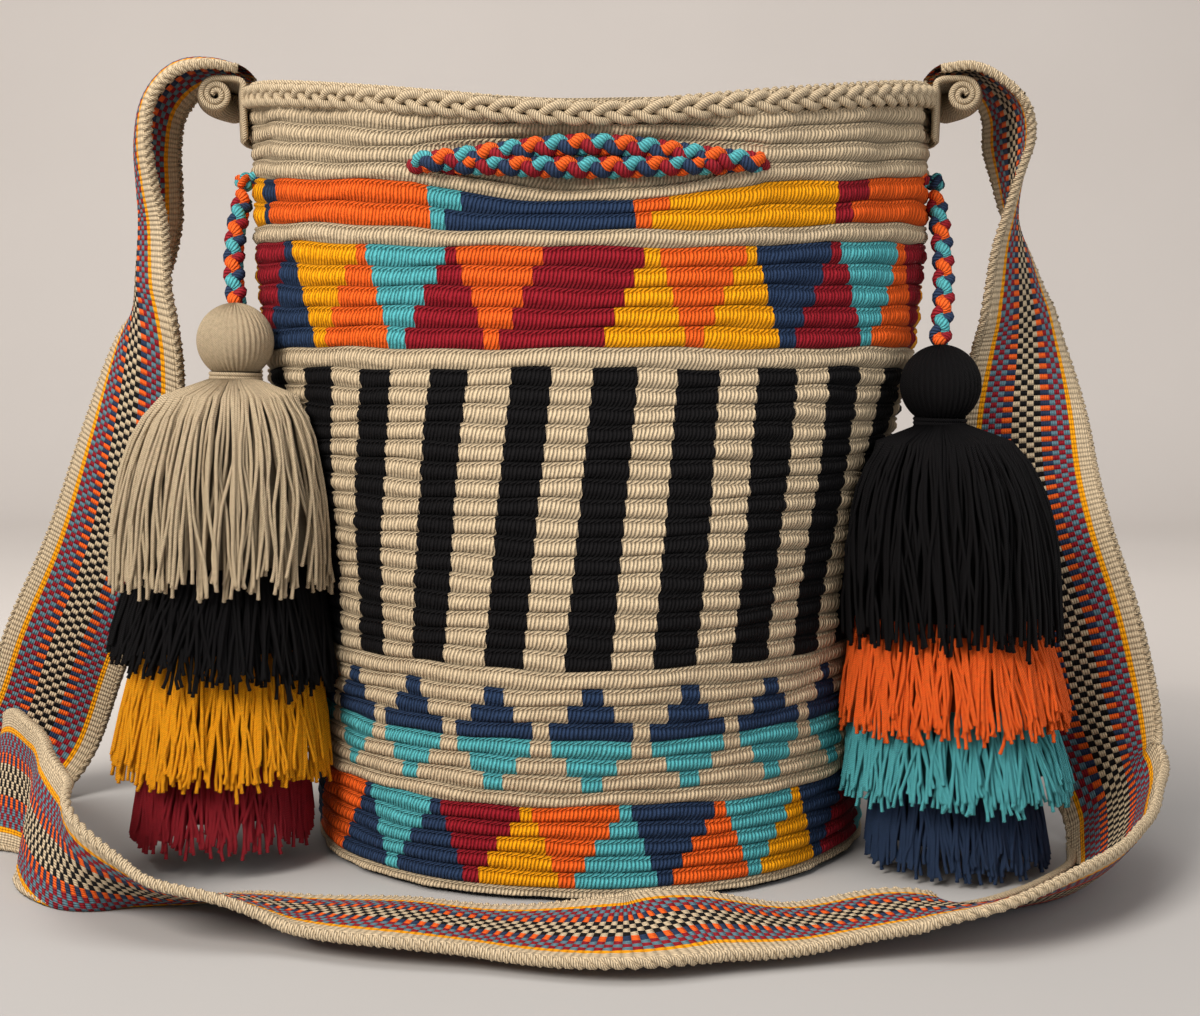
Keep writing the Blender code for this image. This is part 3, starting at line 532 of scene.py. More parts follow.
BLOCK_YARN = np.array((N, R, T, O, Y, N, O, T, N, O, Y, R, O, T, N, Y, R, N))
UPPER_DOWN = np.array((T, O, N, R, O, R, Y, T, O, R, O, N, T, R, N, O, Y, T, N))
UPPER_UP = np.array((Y, R, Y, T, Y, N, O, R, R, Y, Y, R, O, Y, R, T, N, O, R))
LOWER_DOWN = np.array((T, N, R, O, Y, T, N, O, T, R, O, N, T, N, R, O, T, Y, N, R))
LOWER_UP = np.array((O, Y, N, T, R, N, O, N, N, Y, T, O, Y, R, T, Y, N, R, O, Y))


def triangles(place, step, repeats, centre, widest, down, up):
    """Return yarns of a band of triangles: point-down ones narrow by two stitches a row, and
    the point-up ones fill the places between."""
    period = STITCHES / repeats
    at = place - centre + 0.25 * step
    index = np.floor(at / period + 0.5).astype(int)
    off = at - index * period
    inside = np.abs(off) < (widest - 2.1 * step) / 2
    half = repeats // 2
    return np.where(inside, down[(index + half) % repeats], up[(index + half - (off < 0)) % repeats])


def wall_yarn(row, place):
    """Return the yarn of stitches at a place counted from the middle of the front."""
    place = (place + 120) % STITCHES - 120
    yarn = np.full(place.shape, B)
    if row in (4, 5):
        block = np.searchsorted(BLOCKS, place, side="right") - 1
        late = (block % 2 == 1) & (row == 5) & (place - BLOCKS[block] > 2.3)
        yarn = BLOCK_YARN[(block + late) % len(BLOCKS)]
    elif 7 <= row <= 11:
        yarn = triangles(place, row - 7, 19, 1.6, 10.8, UPPER_DOWN, UPPER_UP)
    elif 13 <= row <= 28:
        period = STITCHES / 23
        yarn = np.where((place - 0.4 - LEAN * (row - 14.6)) % period < 5.3, K, B)
    elif 30 <= row <= 35:
        wide = (2.6, 5.6, 9.8, 9.8, 6.0, 2.4)[row - 30]
        off = (place - 0.4 + 6) % 12 - 6
        yarn = np.where(np.abs(off) < wide / 2, N if row < 33 else T, B)
    elif 37 <= row <= 41:
        yarn = triangles(place, row - 37, 20, -1.6, 10.4, LOWER_DOWN, LOWER_UP)
    return yarn


columns = 2 * STITCHES
STITCH_RELIEF, FRONT_OPENING, BACK_OPENING = 0.00022, 0.0062, 0.0028
# Each row has a groove, a thin line of loops, a shallow groove and a rounded belly.
STEPS_IN_ROW = np.array((0.0, 0.07, 0.16, 0.26, 0.42, 0.66, 0.90))
RIDGE_IN_ROW = np.array((-0.00120, -0.00010, 0.00010, -0.00050, 0.00020, 0.00035, -0.00030))
rows = len(row_tops) - 1
heights = np.concatenate([row_tops[r] + (row_tops[r + 1] - row_tops[r]) * STEPS_IN_ROW
                          for r in range(rows)] + [[row_tops[-1]]])
ridges = np.concatenate((np.tile(RIDGE_IN_ROW, rows), [-0.001]))
turns = np.concatenate([r + STEPS_IN_ROW for r in range(rows)] + [[rows]])
below = np.clip(1 - heights / CORNER, 0, 1)
ridges = ridges - CORNER * (1 - np.sqrt(1 - below ** 2))
rim_heights = np.array((0.2762, 0.2774, 0.2780, 0.2776, 0.2760, 0.2738, 0.2720))
rim_ridges = np.array((-0.0046, -0.0038, -0.0022, -0.0008, -0.0004, -0.0004, -0.0008))
all_heights = np.concatenate((rim_heights, heights))
all_ridges = np.concatenate((rim_ridges, ridges))
all_turns = np.concatenate((np.linspace(-2, -0.2, 7), turns))

angle_fine = math.pi / 2 + TURN * np.linspace(0, 1, 1441)
outline = wall_point(angle_fine[None, :], all_heights[:, None], 0.0)
lengths = np.linalg.norm(np.diff(outline, axis=1), axis=-1).cumsum(axis=1)
lengths = np.concatenate((np.zeros((len(all_heights), 1)), lengths), axis=1)
part = np.where(all_turns > 0, all_turns % 1.0, 0)
leaning = np.where(part > 0, 0.42 * (part - 0.5), 0)
column = np.arange(columns + 1) / columns
lean_share = (LEAN * np.maximum(all_turns, 0) + leaning) / STITCHES
angles = np.stack([np.interp((column + lean_share[i]) % 1.0, lengths[i] / lengths[i, -1],
                             angle_fine) for i in range(len(all_heights))])
angles[:, -1] = angles[:, 0]
stitch = np.arange(columns + 1)[None, :] / 2
turn_down = all_turns[:, None]
row_of = np.floor(turn_down)
odd_half = 0.5 * (row_of % 2)
belly = np.sin(math.pi * np.clip((part - 0.22) / 0.78, 0, 1))[:, None]
relief = STITCH_RELIEF * np.cos(TURN * (stitch + odd_half)) * belly
wobble = 0.0006 * np.sin(angles * 5 + turn_down * 0.31) \
    + 0.0004 * np.sin(angles * 11 - turn_down * 0.47)
pucker = 0.0010 * np.cos(angles * 17) * smooth_share((all_heights[:, None] - 0.2) / 0.08)
uneven = 0.00030 * np.sin(angles * 23 + row_of * 2.4) + 0.00022 * np.sin(angles * 41 + row_of * 5.1)
opening = np.where(np.sin(angles) < 0, FRONT_OPENING, BACK_OPENING)
points = wall_point(angles, all_heights[:, None], all_ridges[:, None] + relief + wobble + pucker
                    + uneven * belly, opening)
ripple = STITCH_RELIEF * np.sin(TURN * (stitch + odd_half)) \
    + 0.00045 * np.sin(angles * 7 + row_of) + 0.0003 * np.sin(angles * 19 + row_of * 1.7)
points[..., 2] += np.where(turn_down > 0.5, ripple * smooth_share(all_heights[:, None] / 0.02), 0)
face_colours = np.empty((len(all_heights) - 1, columns, 3))
for index, value in enumerate((all_turns[:-1] + all_turns[1:]) / 2):
    row = int(math.floor(value))
    place = (np.arange(columns) + 0.5) / 2 - STITCHES / 2 + LEAN * (row + 0.5)
    face_colours[index] = PALETTE[wall_yarn(row, place)] if row >= 0 else PALETTE[B]
    if all_heights[index] < 0.0022:
        face_colours[index] = PALETTE[K]
uv = np.stack(np.meshgrid(stitch, turn_down), -1)


def mesh_colour(tree):
    """Return the colour stored in the mesh's corners."""
    source = tree.nodes.new("ShaderNodeVertexColor")
    source.layer_name = "yarn"
    return source.outputs["Color"]


def crochet_material(name, colour=None):
    """Make crocheted cotton: upright plied strands in each stitch, a twisted line of loops along the top
    of each row and grooves between rows, with painted shade darkening the grooves and the gaps between
    strands and painted light on the loops. Without a colour it reads the mesh's."""
    material, tree, shader = new_material(name, 0.82, 0.12)
    across, along = weave_uv(tree)
    fine, loose = noise_share(tree, 700, 4), noise_share(tree, 120)
    part = math_node(tree, "FRACT", along)
    # Upright strands, two to a stitch, bent over towards the row's top.
    bent = weighted_sum(tree, (across, 1.0), (math_node(tree, "POWER", part, 2.0), 0.5))
    fibre = ridges_along(tree, weighted_sum(tree, (bent, 2.0), (loose, 1.1)), math.pi)
    # The line of loops: a thin two-ply twist just under the row's upper groove.
    away = math_node(tree, "ABSOLUTE", math_node(tree, "SUBTRACT", part, 0.12))
    near = math_node(tree, "SUBTRACT", 1.0, math_node(tree, "MULTIPLY", away, 7.0))
    near = math_node(tree, "MAXIMUM", near, 0.0)
    loops = ridges_along(tree, weighted_sum(tree, (across, 1.3), (part, 4.0)), math.pi)
    loops = math_node(tree, "MULTIPLY", loops, near)
    body = math_node(tree, "MULTIPLY", fibre, math_node(tree, "SUBTRACT", 1.0, near))
    # Painted shade: the colour darkens towards the grooves at each row's edges, and the loops add painted
    # light.
    groove = math_node(tree, "POWER", ridges_along(tree, part, math.pi), 0.4)
    height = weighted_sum(tree, (body, 0.7), (loops, 1.3), (fine, 0.6))
    shade = math_node(tree, "ADD", weighted_sum(tree, (body, 0.34), (fine, 0.34)), 0.19)
    shade = weighted_sum(tree, (math_node(tree, "MULTIPLY", groove, shade), 1.0), (loops, 0.45))
    shade_links(tree, shader, shade, height, colour or mesh_colour(tree), 1.0, 0.0011)
    return material


crochet = crochet_material("crocheted_colours")
middle_level = 7 + 7 * 18
for name, start, end in (("crocheted_wall_upper", 0, middle_level),
                         ("crocheted_wall_lower", middle_level, None)):
    stop = None if end is None else end + 1
    wall = grid_object(name, points[start:stop, :-1], crochet, wrap_across=True, flip=True,
                       uv=uv[start:stop], colours=face_colours[start:end])
    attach(wall, "root")
    if start == 0:
        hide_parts("bag_body")

# Rim edging: three thick strands plaited flat along the rim, and a two-ply line on top of it.
# A plait's strand goes up and down as a sine, and in and out as the sine of twice that angle.
rim_angle = math.pi / 2 + TURN * np.linspace(0, 1, 561)
PLAIT_HEIGHT, TOP_LINE_HEIGHT = 0.2738, 0.2778
rim_base = wall_point(rim_angle, np.full(561, PLAIT_HEIGHT), 0.0006)
rim_top = wall_point(rim_angle, np.full(561, TOP_LINE_HEIGHT), -0.0018)
rim_away = unit(rim_base * np.array((1, 1, 0)))
for name, line, ropes, waves, rope_radius, sides in (
        ("rim_plait", rim_base, 3, 31, 0.00155, 8), ("rim_top_line", rim_top, 2, 110, 0.0011, 6)):
    for index in range(ropes):
        phase = rim_angle * waves + TURN * index / ropes
        out, up = 0.0009 * np.sin(2 * phase) + 0.0006, 0.0026 * np.sin(phase)
        if name == "rim_top_line":
            out, up = 0.0010 * np.cos(phase), 0.0008 * np.sin(phase)
        rope = line + rim_away * out[:, None] + up[:, None] * np.array((0, 0, 1))
        piece = tube_object(f"{name}_{index}", rope[None], rope_radius, sides,
                            yarn_material("beige"), (0, 0, 1.0))
        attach(piece, "root")

# Lining side and base.
# The inside of the same wall, where the stitches' backs show in rows, and the round base, which
# is crocheted in rings of black from its middle.
lining_rows, LINING_TOP = 42, 0.2766
depth_share = np.linspace(0, 1, lining_rows * 3 + 1)
lining_height = LINING_TOP + (WALL - LINING_TOP) * depth_share
lining_angle = math.pi / 2 + TURN * np.arange(STITCHES + 1) / STITCHES
groove_in = 0.0006 * np.abs(np.sin(math.pi * depth_share * lining_rows))
inner = -(WALL + LINING_GAP) + groove_in \
    - CORNER * (1 - np.sqrt(1 - np.clip(1 - (lining_height - WALL) / CORNER, 0, 1) ** 2))
inner_points = wall_point(lining_angle[None, :], lining_height[:, None], inner[:, None])
bottom_share = np.linspace(1, 0.01, 14)[1:]
bottom = inner_points[-1][None] * np.array((1, 1, 0)) * bottom_share[:, None, None]
bottom[..., 2] = inner_points[-1][None, :, 2]
inner_points = np.concatenate((inner_points, bottom))
inner_rows = np.concatenate((depth_share * lining_rows, lining_rows + np.arange(13) + 1.0))
inner_uv = np.stack(np.meshgrid(np.arange(STITCHES + 1.0), inner_rows), -1)
# The inside's beige is darker than the outer wall's, as painted shade for the inside of the bag.
lining = grid_object("inside_of_wall", inner_points[:, :-1],
                     crochet_material("crocheted_inside", (0.40, 0.32, 0.22)),
                     wrap_across=True, uv=inner_uv)
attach(lining, "root")
base_share = np.linspace(1, 0.01, 16)
edge = points[-1, ::2]
base_points = edge[None] * np.array((1, 1, 0)) * base_share[:, None, None]
base_points[..., 2] = 0.0004 * np.minimum(1, 8 * (base_share[:, None] - 0.86)).clip(0, 1)
base_uv = np.stack(np.meshgrid(np.arange(STITCHES + 1.0), np.arange(16.0)), -1)
base = grid_object("crocheted_base", base_points[:, :-1],
                   crochet_material("crocheted_black", COLOURS["black"]),
                   wrap_across=True, flip=True, uv=base_uv)
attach(base, "root")

# Strap.
# A stiff woven cotton band, about 50 mm wide. It leaves the left end of the rim, hangs, lies
# round the front on the floor and climbs to the right end. Its warp makes the long coloured
# bands, and both edges carry a crocheted beige edging.

# A station: distance from the mouth's end, or x at the front, depth towards the front, height as
# a share of the bag, direction of the width, bulge, and width as a share of the band.
LEFT_RUN = (
    (0.001, 0, 1.013, 0, -1, 0, 0.001, 0.72), (0.012, 0, 1.016, 0, -1, 0, 0.004, 0.9),
    (0.023, 0, 1.004, 0, -1, 0, 0.007, 0.97), (0.031, 0, 0.97, 0, -1, 0, 0.008, 0.95),
    (0.033, 0, 0.92, 0, -1, 0, 0.009, 0.93), (0.032, -0.001, 0.868, 0.03, -1, 0, 0.01, 0.9),
    (0.031, -0.002, 0.815, 0.12, -1, 0, 0.011, 0.88), (0.034, -0.002, 0.732, 0.3, -0.95, 0, 0.01, 0.9),
    (0.04, -0.003, 0.65, 0.68, -0.73, -0.06, 0.006, 0.97),
    (0.051, -0.012, 0.511, 0.83, -0.45, -0.3, 0.004, 1),
    (0.067, -0.025, 0.354, 0.87, -0.2, -0.42, 0.002, 1), (0.085, -0.035, 0.222, 0.88, 0, -0.48, 0.001, 1),
    (0.099, -0.04, 0.102, 0.88, 0.05, -0.36, 0, 1), (0.112, -0.03, 0.045, 0.97, 0.15, 0.02, -0.003, 1),
    (0.115, -0.01, 0.042, 0.93, 0.05, 0.3, -0.004, 1), (0.105, 0.014, 0.064, 0.66, 0, 0.72, -0.002, 1),
    (0.086, 0.036, 0.09, 0.28, -0.05, 0.95, 0, 1), (0.07, 0.056, 0.088, 0.12, -0.22, 0.94, 0, 1),
    (0.061, 0.084, 0.082, 0.34, -0.3, 0.86, 0.001, 1), (0.048, 0.104, 0.064, 0.5, -0.44, 0.72, 0.002, 1),
    (0.031, 0.12, 0.055, 0.4, -0.64, 0.6, 0.002, 1), (0.008, 0.125, 0.04, 0.2, -0.88, 0.4, 0.001, 1))
FRONT_RUN = (
    (-0.112, 0.127, 0.01, 0.1, -0.95, 0.26, 0.001, 1), (-0.088, 0.128, 0.006, 0.1, -0.98, 0.12, 0, 0.98),
    (-0.057, 0.136, 0.006, 0.06, -0.99, 0.06, -0.001, 1), (-0.026, 0.14, 0.005, 0.02, -1, 0.05, 0, 1),
    (0.01, 0.148, 0.008, 0, -1, -0.08, 0.001, 1), (0.034, 0.142, 0.008, -0.02, -1, -0.06, -0.001, 1),
    (0.065, 0.135, 0.005, -0.08, -1, 0.06, 0, 0.98), (0.096, 0.13, 0.008, -0.16, -0.98, 0.06, 0, 1),
    (0.119, 0.13, 0.0095, -0.16, -0.96, 0.24, 0.001, 1),
    (0.143, 0.118, 0.011, -0.17, -0.92, 0.34, 0.003, 1),
    (0.164, 0.097, 0.011, -0.16, -0.92, 0.36, 0.004, 1),
    (0.18, 0.073, 0.013, -0.02, -0.93, 0.36, 0.003, 1))
RIGHT_RUN = (
    (0.062, 0.049, 0.07, 0.26, -0.92, 0.28, 0.002, 1), (0.062, 0.034, 0.105, 0.56, -0.74, 0.28, 0.004, 1),
    (0.057, 0.026, 0.193, 0.86, -0.5, 0.06, 0.002, 1), (0.052, 0.02, 0.285, 0.87, -0.45, 0.16, 0, 1),
    (0.043, 0.011, 0.4, 0.89, -0.34, 0.28, -0.001, 1), (0.0385, 0.002, 0.501, 0.97, -0.1, 0.18, -0.002, 1),
    (0.036, -0.001, 0.648, 0.82, 0.56, 0.02, -0.003, 1), (0.034, 0, 0.716, 0.64, 0.77, 0, -0.003, 1),
    (0.0315, 0, 0.786, 0.43, 0.9, 0, -0.003, 0.98), (0.03, 0, 0.832, 0.2, 0.98, 0, -0.003, 0.97),
    (0.03, 0, 0.88, 0.02, 1, 0, -0.003, 0.96), (0.03, 0, 0.925, -0.14, 0.99, 0, -0.003, 0.96),
    (0.0285, 0, 0.965, -0.1, 1, 0, -0.003, 0.96), (0.022, 0, 0.997, 0, 1, 0, -0.003, 0.94),
    (0.012, 0, 1.014, 0, 1, 0, -0.003, 0.88), (0.001, 0, 1.013, 0, 1, 0, -0.001, 0.72))
left_run, front_run, right_run = (np.array(run) for run in (LEFT_RUN, FRONT_RUN, RIGHT_RUN))
for run, side in ((left_run, -1), (right_run, 1)):
    run[:, 0] = side * (MOUTH + run[:, 0])
    run[:, 2] *= BAG_HEIGHT
front_run[:, 1] += 0.001 + 0.007 * np.sin(math.pi * (front_run[:, 0] + 0.13) / 0.32)
stations = np.vstack((left_run, front_run, right_run))
stations[:, 1] *= -1
stations[:, 3:6] = unit(stations[:, 3:6])
CELL, STRAP_WIDTH = 0.002, 0.050
strap_line = even_path(smooth_path(stations, 40), CELL)
centre = strap_line[:, :3]
ahead = unit(np.gradient(centre, axis=0))
normal = unit(np.cross(ahead, unit(strap_line[:, 3:6])))
across = unit(np.cross(normal, ahead))
bulge, narrow = strap_line[:, 6], strap_line[:, 7]
# Bands from the back edge to the front edge: widths in millimetres and what each one shows.
SIDE_BANDS = ((2.0, "rib"),) * 3 + (
    (2.1, "gold"), (2.4, "check_a"), (2.45, "check_b"), (2.45, "check_a"), (1.95, "ladder_a"),
    (1.95, "ladder_b"))
BANDS = SIDE_BANDS + ((2.85, "pepper_a"), (2.85, "pepper_b")) * 2 + SIDE_BANDS[::-1]
band_edges = np.concatenate(([0], np.cumsum([width for width, kind in BANDS])))
band_edges = (band_edges / band_edges[-1] - 0.5) * STRAP_WIDTH
count = len(centre)
cell = np.arange(count - 1)
strap_yarn = np.full((count - 1, len(BANDS)), B)
for index, (width, kind) in enumerate(BANDS):
    odd = (cell + kind.endswith("b")) % 2 == 0
    strap_yarn[:, index] = {
        "rib": B, "gold": Y, "check": np.where(odd, R, S), "pepper": np.where(odd, K, B),
        "ladder": np.where(cell % 2 == 0, O, N)}[kind.split("_")[0]]
thick = np.interp(np.abs(band_edges), (0, 0.0205, 0.0235, STRAP_WIDTH / 2),
                  (0.0012, 0.0012, 0.0016, 0.0007))
raised = 0.00015 * ((np.arange(count)[:, None] + np.arange(len(band_edges))[None, :]) % 2)
faces_of_band = []
for way in (1, -1):
    lift = bulge[:, None] * (1 - (2 * band_edges / STRAP_WIDTH) ** 2) + way * (thick + raised)
    faces_of_band.append(centre[:, None] + normal[:, None] * lift[..., None]
                         + across[:, None] * (band_edges[None, :] * narrow[:, None])[..., None])
ring = np.concatenate((faces_of_band[0], faces_of_band[1][:, ::-1]), axis=1)
ring[..., 2] = np.maximum(ring[..., 2], 0.0003)
ring_edges = np.concatenate((band_edges, band_edges[::-1])) * 1000
side_yarn = np.full((count - 1, 1), B)
strap_colours = PALETTE[np.hstack((strap_yarn, side_yarn, strap_yarn[:, ::-1], side_yarn))]
strap_uv = np.stack(np.meshgrid(np.append(ring_edges, ring_edges[0]), np.arange(count) * 2.0), -1)


def woven_material():
    """Make warp-faced weave: fine warp lines along the band, crossed by ribs half a cell long, with loose
    fibres and a slight change of tone from yarn to yarn. Painted shade darkens the colour between the warp
    lines and between the ribs."""
    material, tree, shader = new_material("woven_band", 0.8, 0.14)
    across, along = weave_uv(tree)
    fine = noise_share(tree, 800, 3)
    cloth = weighted_sum(tree, (ridges_along(tree, across, math.pi / 0.95), 0.6),
                         (ridges_along(tree, along, math.pi / 2.0), 1.0))
    shade_links(tree, shader, weighted_sum(tree, (cloth, 0.26), (fine, 0.4)),
                weighted_sum(tree, (cloth, 1.0), (fine, 0.5)), mesh_colour(tree), 0.9, 0.0006)
    return material


strap = grid_object("woven_strap", ring, woven_material(), wrap_across=True, flip=True, uv=strap_uv,
                    colours=strap_colours)
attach(strap, "root")
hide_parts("strap")
EDGE_OUT, EDGE_STEP, EDGE_LAY, EDGE_STRAND = 0.0244, 0.0010, 0.0050, 0.00098
edge_line = even_path(np.hstack((centre, across, normal, (narrow * EDGE_OUT)[:, None])), EDGE_STEP)
run = TURN * np.arange(len(edge_line)) * EDGE_STEP / EDGE_LAY
for side, side_name in ((-1, "back"), (1, "front")):
    for ply_index in range(2):
        turn = run + math.pi * ply_index
        aside = side * edge_line[:, 9:] + 0.00065 * np.cos(turn)[:, None]
        path = edge_line[:, :3] + edge_line[:, 3:6] * aside \
            + edge_line[:, 6:9] * (0.0011 * np.sin(turn))[:, None]
        path[:, 2] = np.maximum(path[:, 2], 0.0012)
        piece = tube_object(f"{side_name}_edging_{ply_index}", path[None], EDGE_STRAND, 6,
                            yarn_material("beige"), (0.1, 0.2, 1.0))
        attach(piece, "root")

# Collars.
# At each end of the strap a flap of the rim is folded outwards over the top and rolled up under
# the strap, which is sewn over it. It is worked in rows that lie side by side across the flap,
# and the roll shows its spiral at both ends.
COLLAR_TOP, COLLAR_DROP, ROLL, ROLL_OUT = 0.2814, 0.024, 0.0070, 0.0112
FLAP_ROWS, ROW_RADIUS, ROW_PITCH, ROLL_TURNS, COIL_PITCH = 16, 0.00118, 0.00225, 2.35, 0.0021
rolled = np.linspace(0, ROLL_TURNS, 70)
turn = math.pi / 2 - TURN * rolled
coil = ROLL - ROW_RADIUS - COIL_PITCH * rolled
profile = np.concatenate((
    np.stack((np.full(6, ROW_RADIUS),
              np.linspace(COLLAR_TOP - COLLAR_DROP, COLLAR_TOP - 2.6 * ROW_RADIUS, 6)), -1),
    np.array(((0.0030, COLLAR_TOP - 1.4 * ROW_RADIUS), (0.0062, COLLAR_TOP - ROW_RADIUS))),
    np.stack((ROLL_OUT - coil * np.cos(turn), COLLAR_TOP - ROLL + coil * np.sin(turn)), -1)))
profile[8:, 0] = 2 * ROLL_OUT - profile[8:, 0]
profile = even_path(smooth_path(profile, 3), 0.0011, 2)
flap_y = (np.arange(FLAP_ROWS) - (FLAP_ROWS - 1) / 2) * ROW_PITCH
for side, prefix in ((-1, "left"), (1, "right")):
    flat_height = np.minimum(profile[:, 1], BAG_HEIGHT)[None, :]
    wall_x = (half_width(flat_height) + 0.0016) \
        * np.sqrt(1 - (flap_y[:, None] / half_depth(flat_height)) ** 2)
    flap = np.stack(np.broadcast_arrays(side * (wall_x + profile[None, :, 0]), flap_y[:, None],
                                        profile[None, :, 1]), -1)
    collar = tube_object(prefix + "_rolled_collar", flap, ROW_RADIUS, 6, yarn_material("beige"),
                         (0, 1.0, 0))
    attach(collar, "root")
    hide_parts(prefix + "_strap_collar")

# Tassels.
# Each is a bundle of plied cotton strands folded over a cord and tied under its ball, with three
# more tiers of strands below, each coming out under the one above. The strands hang free, so
# their length, place and bend vary a little, and they stay clear of the bag's wall.
NECK, LAYER, TIER_RISE, TIER_TOP, CORE_SHARE = 0.0082, 0.84, 0.018, 0.022, 0.84
STRAND_RADIUS, END_KNOB, END_SPREAD = 0.00064, 1.25, 0.0026
STRAND_CLEARANCE, CORE_CLEARANCE, LOWEST_END = 0.0022, 0.0030, 0.0015


def tassel_axis(ball, foot, height):
    """Return the x and y of the leaning axis at a height, between the ball and the foot."""
    share = (height - ball[2]) / (foot[2] - ball[2])
    return ball[0] + (foot[0] - ball[0]) * share, ball[1] + (foot[1] - ball[1]) * share


def pressed(x, y, angle, height, radius, clearance):
    """Return the radius, cut to where a ray from the axis meets the wall's ellipse grown by the
    clearance: the smaller root of the quadratic."""
    a = half_width(height) + clearance
    b = half_depth(height) + clearance
    dx, dy = np.cos(angle), np.sin(angle)
    square = (dx / a) ** 2 + (dy / b) ** 2
    linear = x * dx / a ** 2 + y * dy / b ** 2
    inside = linear ** 2 - square * ((x / a) ** 2 + (y / b) ** 2 - 1)
    hit = (inside > 0) & (linear < 0)
    reach = (-linear - np.sqrt(np.maximum(inside, 0))) / square
    return np.where(hit, np.minimum(radius, reach), radius)


def strand_paths(rng, count, tilt, ball, foot, top, bottom, top_radius, bottom_radius, bell):
    """Return strand centre lines [strand, along, xyz]: each goes out from the neck as the root of
    one less a cube (a head), or straight (a lower tier), then hangs."""
    share = np.concatenate((np.linspace(0, 0.94, 10 if bell else 5), (0.982, 0.996, 1.0)))[None, :]
    angle0 = TURN * (np.arange(count) + rng.uniform(-0.5, 0.5, count)) / count
    angle = angle0[:, None] + rng.normal(0, 0.090, (count, 1)) * share ** 2 \
        + rng.normal(0, 0.042, (count, 1)) * np.sin(math.pi * share * 1.6) \
        + rng.normal(0, 0.014, (count, 1)) * np.sin(math.pi * share * 4)
    end = bottom + rng.normal(0, END_SPREAD, count) - 0.0005 + tilt * np.cos(angle0)
    end = np.maximum(end, LOWEST_END)
    height = top + (end[:, None] - top) * share
    spread = np.sqrt(1 - (1 - share) ** 3) if bell else np.sqrt(share)
    layer = LAYER + (1 - LAYER) * rng.uniform(0, 1, (count, 1)) ** 0.7
    radius = top_radius + (bottom_radius - top_radius) * spread * (
        1 - (1 - layer) * smooth_share(share * 3))
    x, y = tassel_axis(ball, foot, height)
    radius = pressed(x, y, angle, height, radius, STRAND_CLEARANCE)
    return np.stack((x + radius * np.cos(angle), y + radius * np.sin(angle), height), -1)


def core_surface(ball, foot, top, bottom, top_radius, bottom_radius, bell):
    """Return a closed bell of points a little inside the strands, so none show daylight."""
    share = np.linspace(0, 1, 14)[:, None]
    angle = TURN * np.arange(48)[None, :] / 48
    height = top + (bottom - top) * share
    spread = np.sqrt(1 - (1 - share) ** 3) if bell else np.sqrt(share)
    radius = (top_radius + (bottom_radius - top_radius) * spread) * CORE_SHARE
    x, y = tassel_axis(ball, foot, height)
    radius = pressed(x, y, angle, height, np.broadcast_to(radius, (14, 48)), CORE_CLEARANCE)
    body_points = np.stack((x + radius * np.cos(angle), y + radius * np.sin(angle),
                            np.broadcast_to(height, radius.shape)), -1)
    middle = body_points[-1:].mean(axis=1, keepdims=True)
    lid = middle + (body_points[-1:] - middle) * np.array((0.5, 0.02))[:, None, None]
    return np.concatenate((body_points, lid))


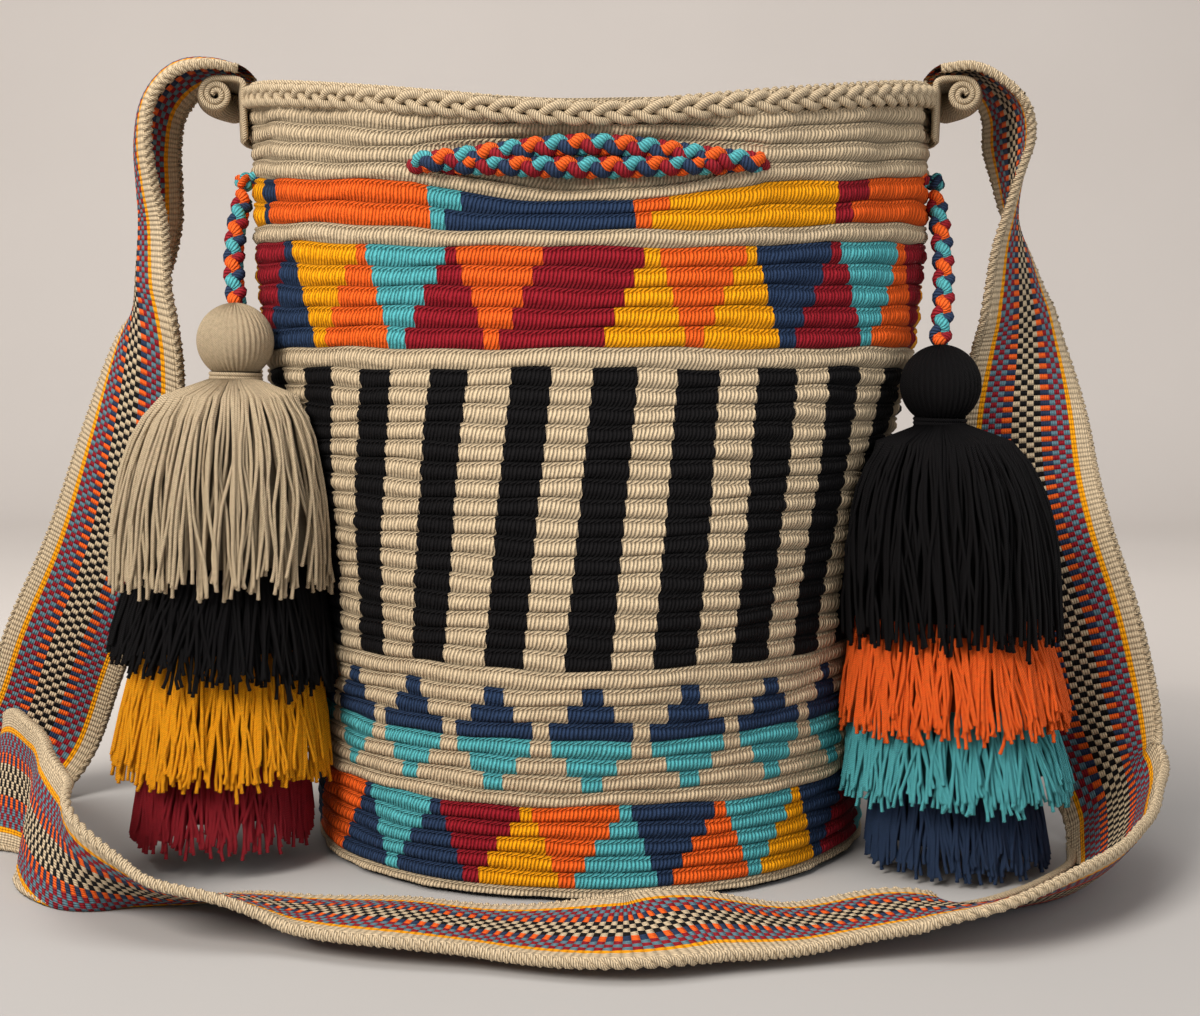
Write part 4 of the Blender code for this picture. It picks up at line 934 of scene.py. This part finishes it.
# Foot of the axis, then each tier: yarn, height of its lower end, radius there, strands and tilt.
TASSELS = (
    ("left", -1, (-0.131, -0.051, 0.0120), (
        ("beige", 0.1010, 0.0415, 330, 0.0), ("black", 0.0720, 0.0415, 470, -0.006),
        ("yellow", 0.0365, 0.0395, 460, -0.001), ("burgundy", 0.0130, 0.0320, 390, 0.0))),
    ("right", 1, (0.130, -0.058, 0.0035), (
        ("black", 0.0830, 0.0395, 330, 0.0), ("orange", 0.0540, 0.0410, 460, 0.001),
        ("turquoise", 0.0300, 0.0410, 460, 0.0), ("navy", 0.0060, 0.0320, 390, 0.0))))
for side_index, (prefix, side, foot, tiers) in enumerate(TASSELS):
    body = prefix + "_tassel"
    ball, ball_radius = BALLS[side]
    neck = ball[2] - 0.84 * ball_radius
    colour = tiers[0][0]
    # Ball: strands drawn down over a core, as a globe with upright ridges.
    turn = TURN * np.arange(241)[None, :] / 240
    fall = np.linspace(0.02, 0.80 * math.pi, 40)[:, None]
    ridge = ball_radius - 0.0005 + 0.00060 * np.abs(np.sin(turn * 20 + 0.5 * np.cos(fall)))
    globe = np.array(ball) + np.stack((ridge * np.sin(fall) * np.cos(turn),
                                       ridge * np.sin(fall) * np.sin(turn), ridge * np.cos(fall)), -1)
    globe_uv = np.stack(np.meshgrid(turn / TURN * 40, fall * ball_radius * 1000), -1)
    globe_object = grid_object(prefix + "_tassel_ball", globe[:, :-1], yarn_material(colour),
                               wrap_across=True, flip=True, uv=globe_uv)
    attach(globe_object, body)
    # Tie: three turns of yarn round the neck.
    around = np.linspace(0, 3 * TURN, 180)
    winding = np.stack((ball[0] + (NECK + TOUCH) * np.cos(around),
                        ball[1] + (NECK + TOUCH) * np.sin(around),
                        neck + TOUCH - 0.0014 * around / TURN), -1)
    tie = tube_object(prefix + "_tie_winding", winding[None], 0.0008, 6, yarn_material(colour),
                      (0, 0, 1.0))
    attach(tie, body)
    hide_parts(prefix + "_neck_tie", prefix + "_core_cord")
    # Tiers, from the head down.
    for index, (colour, bottom, radius, number, tilt) in enumerate(tiers):
        node = body + ("_head", "_tier_2", "_tier_3", "_tier_4")[index]
        rng = np.random.default_rng(40 * side_index + index)
        top, top_radius = neck - 0.001, NECK - 0.002
        if index:
            top, top_radius = tiers[index - 1][1] + TIER_RISE, TIER_TOP
        paths = strand_paths(rng, number, tilt, ball, foot, top, bottom, top_radius, radius, index == 0)
        tier = tube_object(node + "_strands", paths, STRAND_RADIUS, 5, yarn_material(colour),
                           (0.3, 1.0, 0.1), END_KNOB)
        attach(tier, body)
        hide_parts(node)
        # The filling inside each tier is a dark sheet of painted shade, standing for the shadow among the
        # strands.
        inside = core_surface(ball, foot, top, bottom + 0.006, top_radius, radius, index == 0)
        inside_uv = np.stack(np.meshgrid(np.arange(49) * 2.0, np.arange(16) * 5.0), -1)
        shade_filling = grid_object(node + "_filling", inside, shadow_material(colour), wrap_across=True,
                              flip=True, uv=inside_uv)
        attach(shade_filling, body)
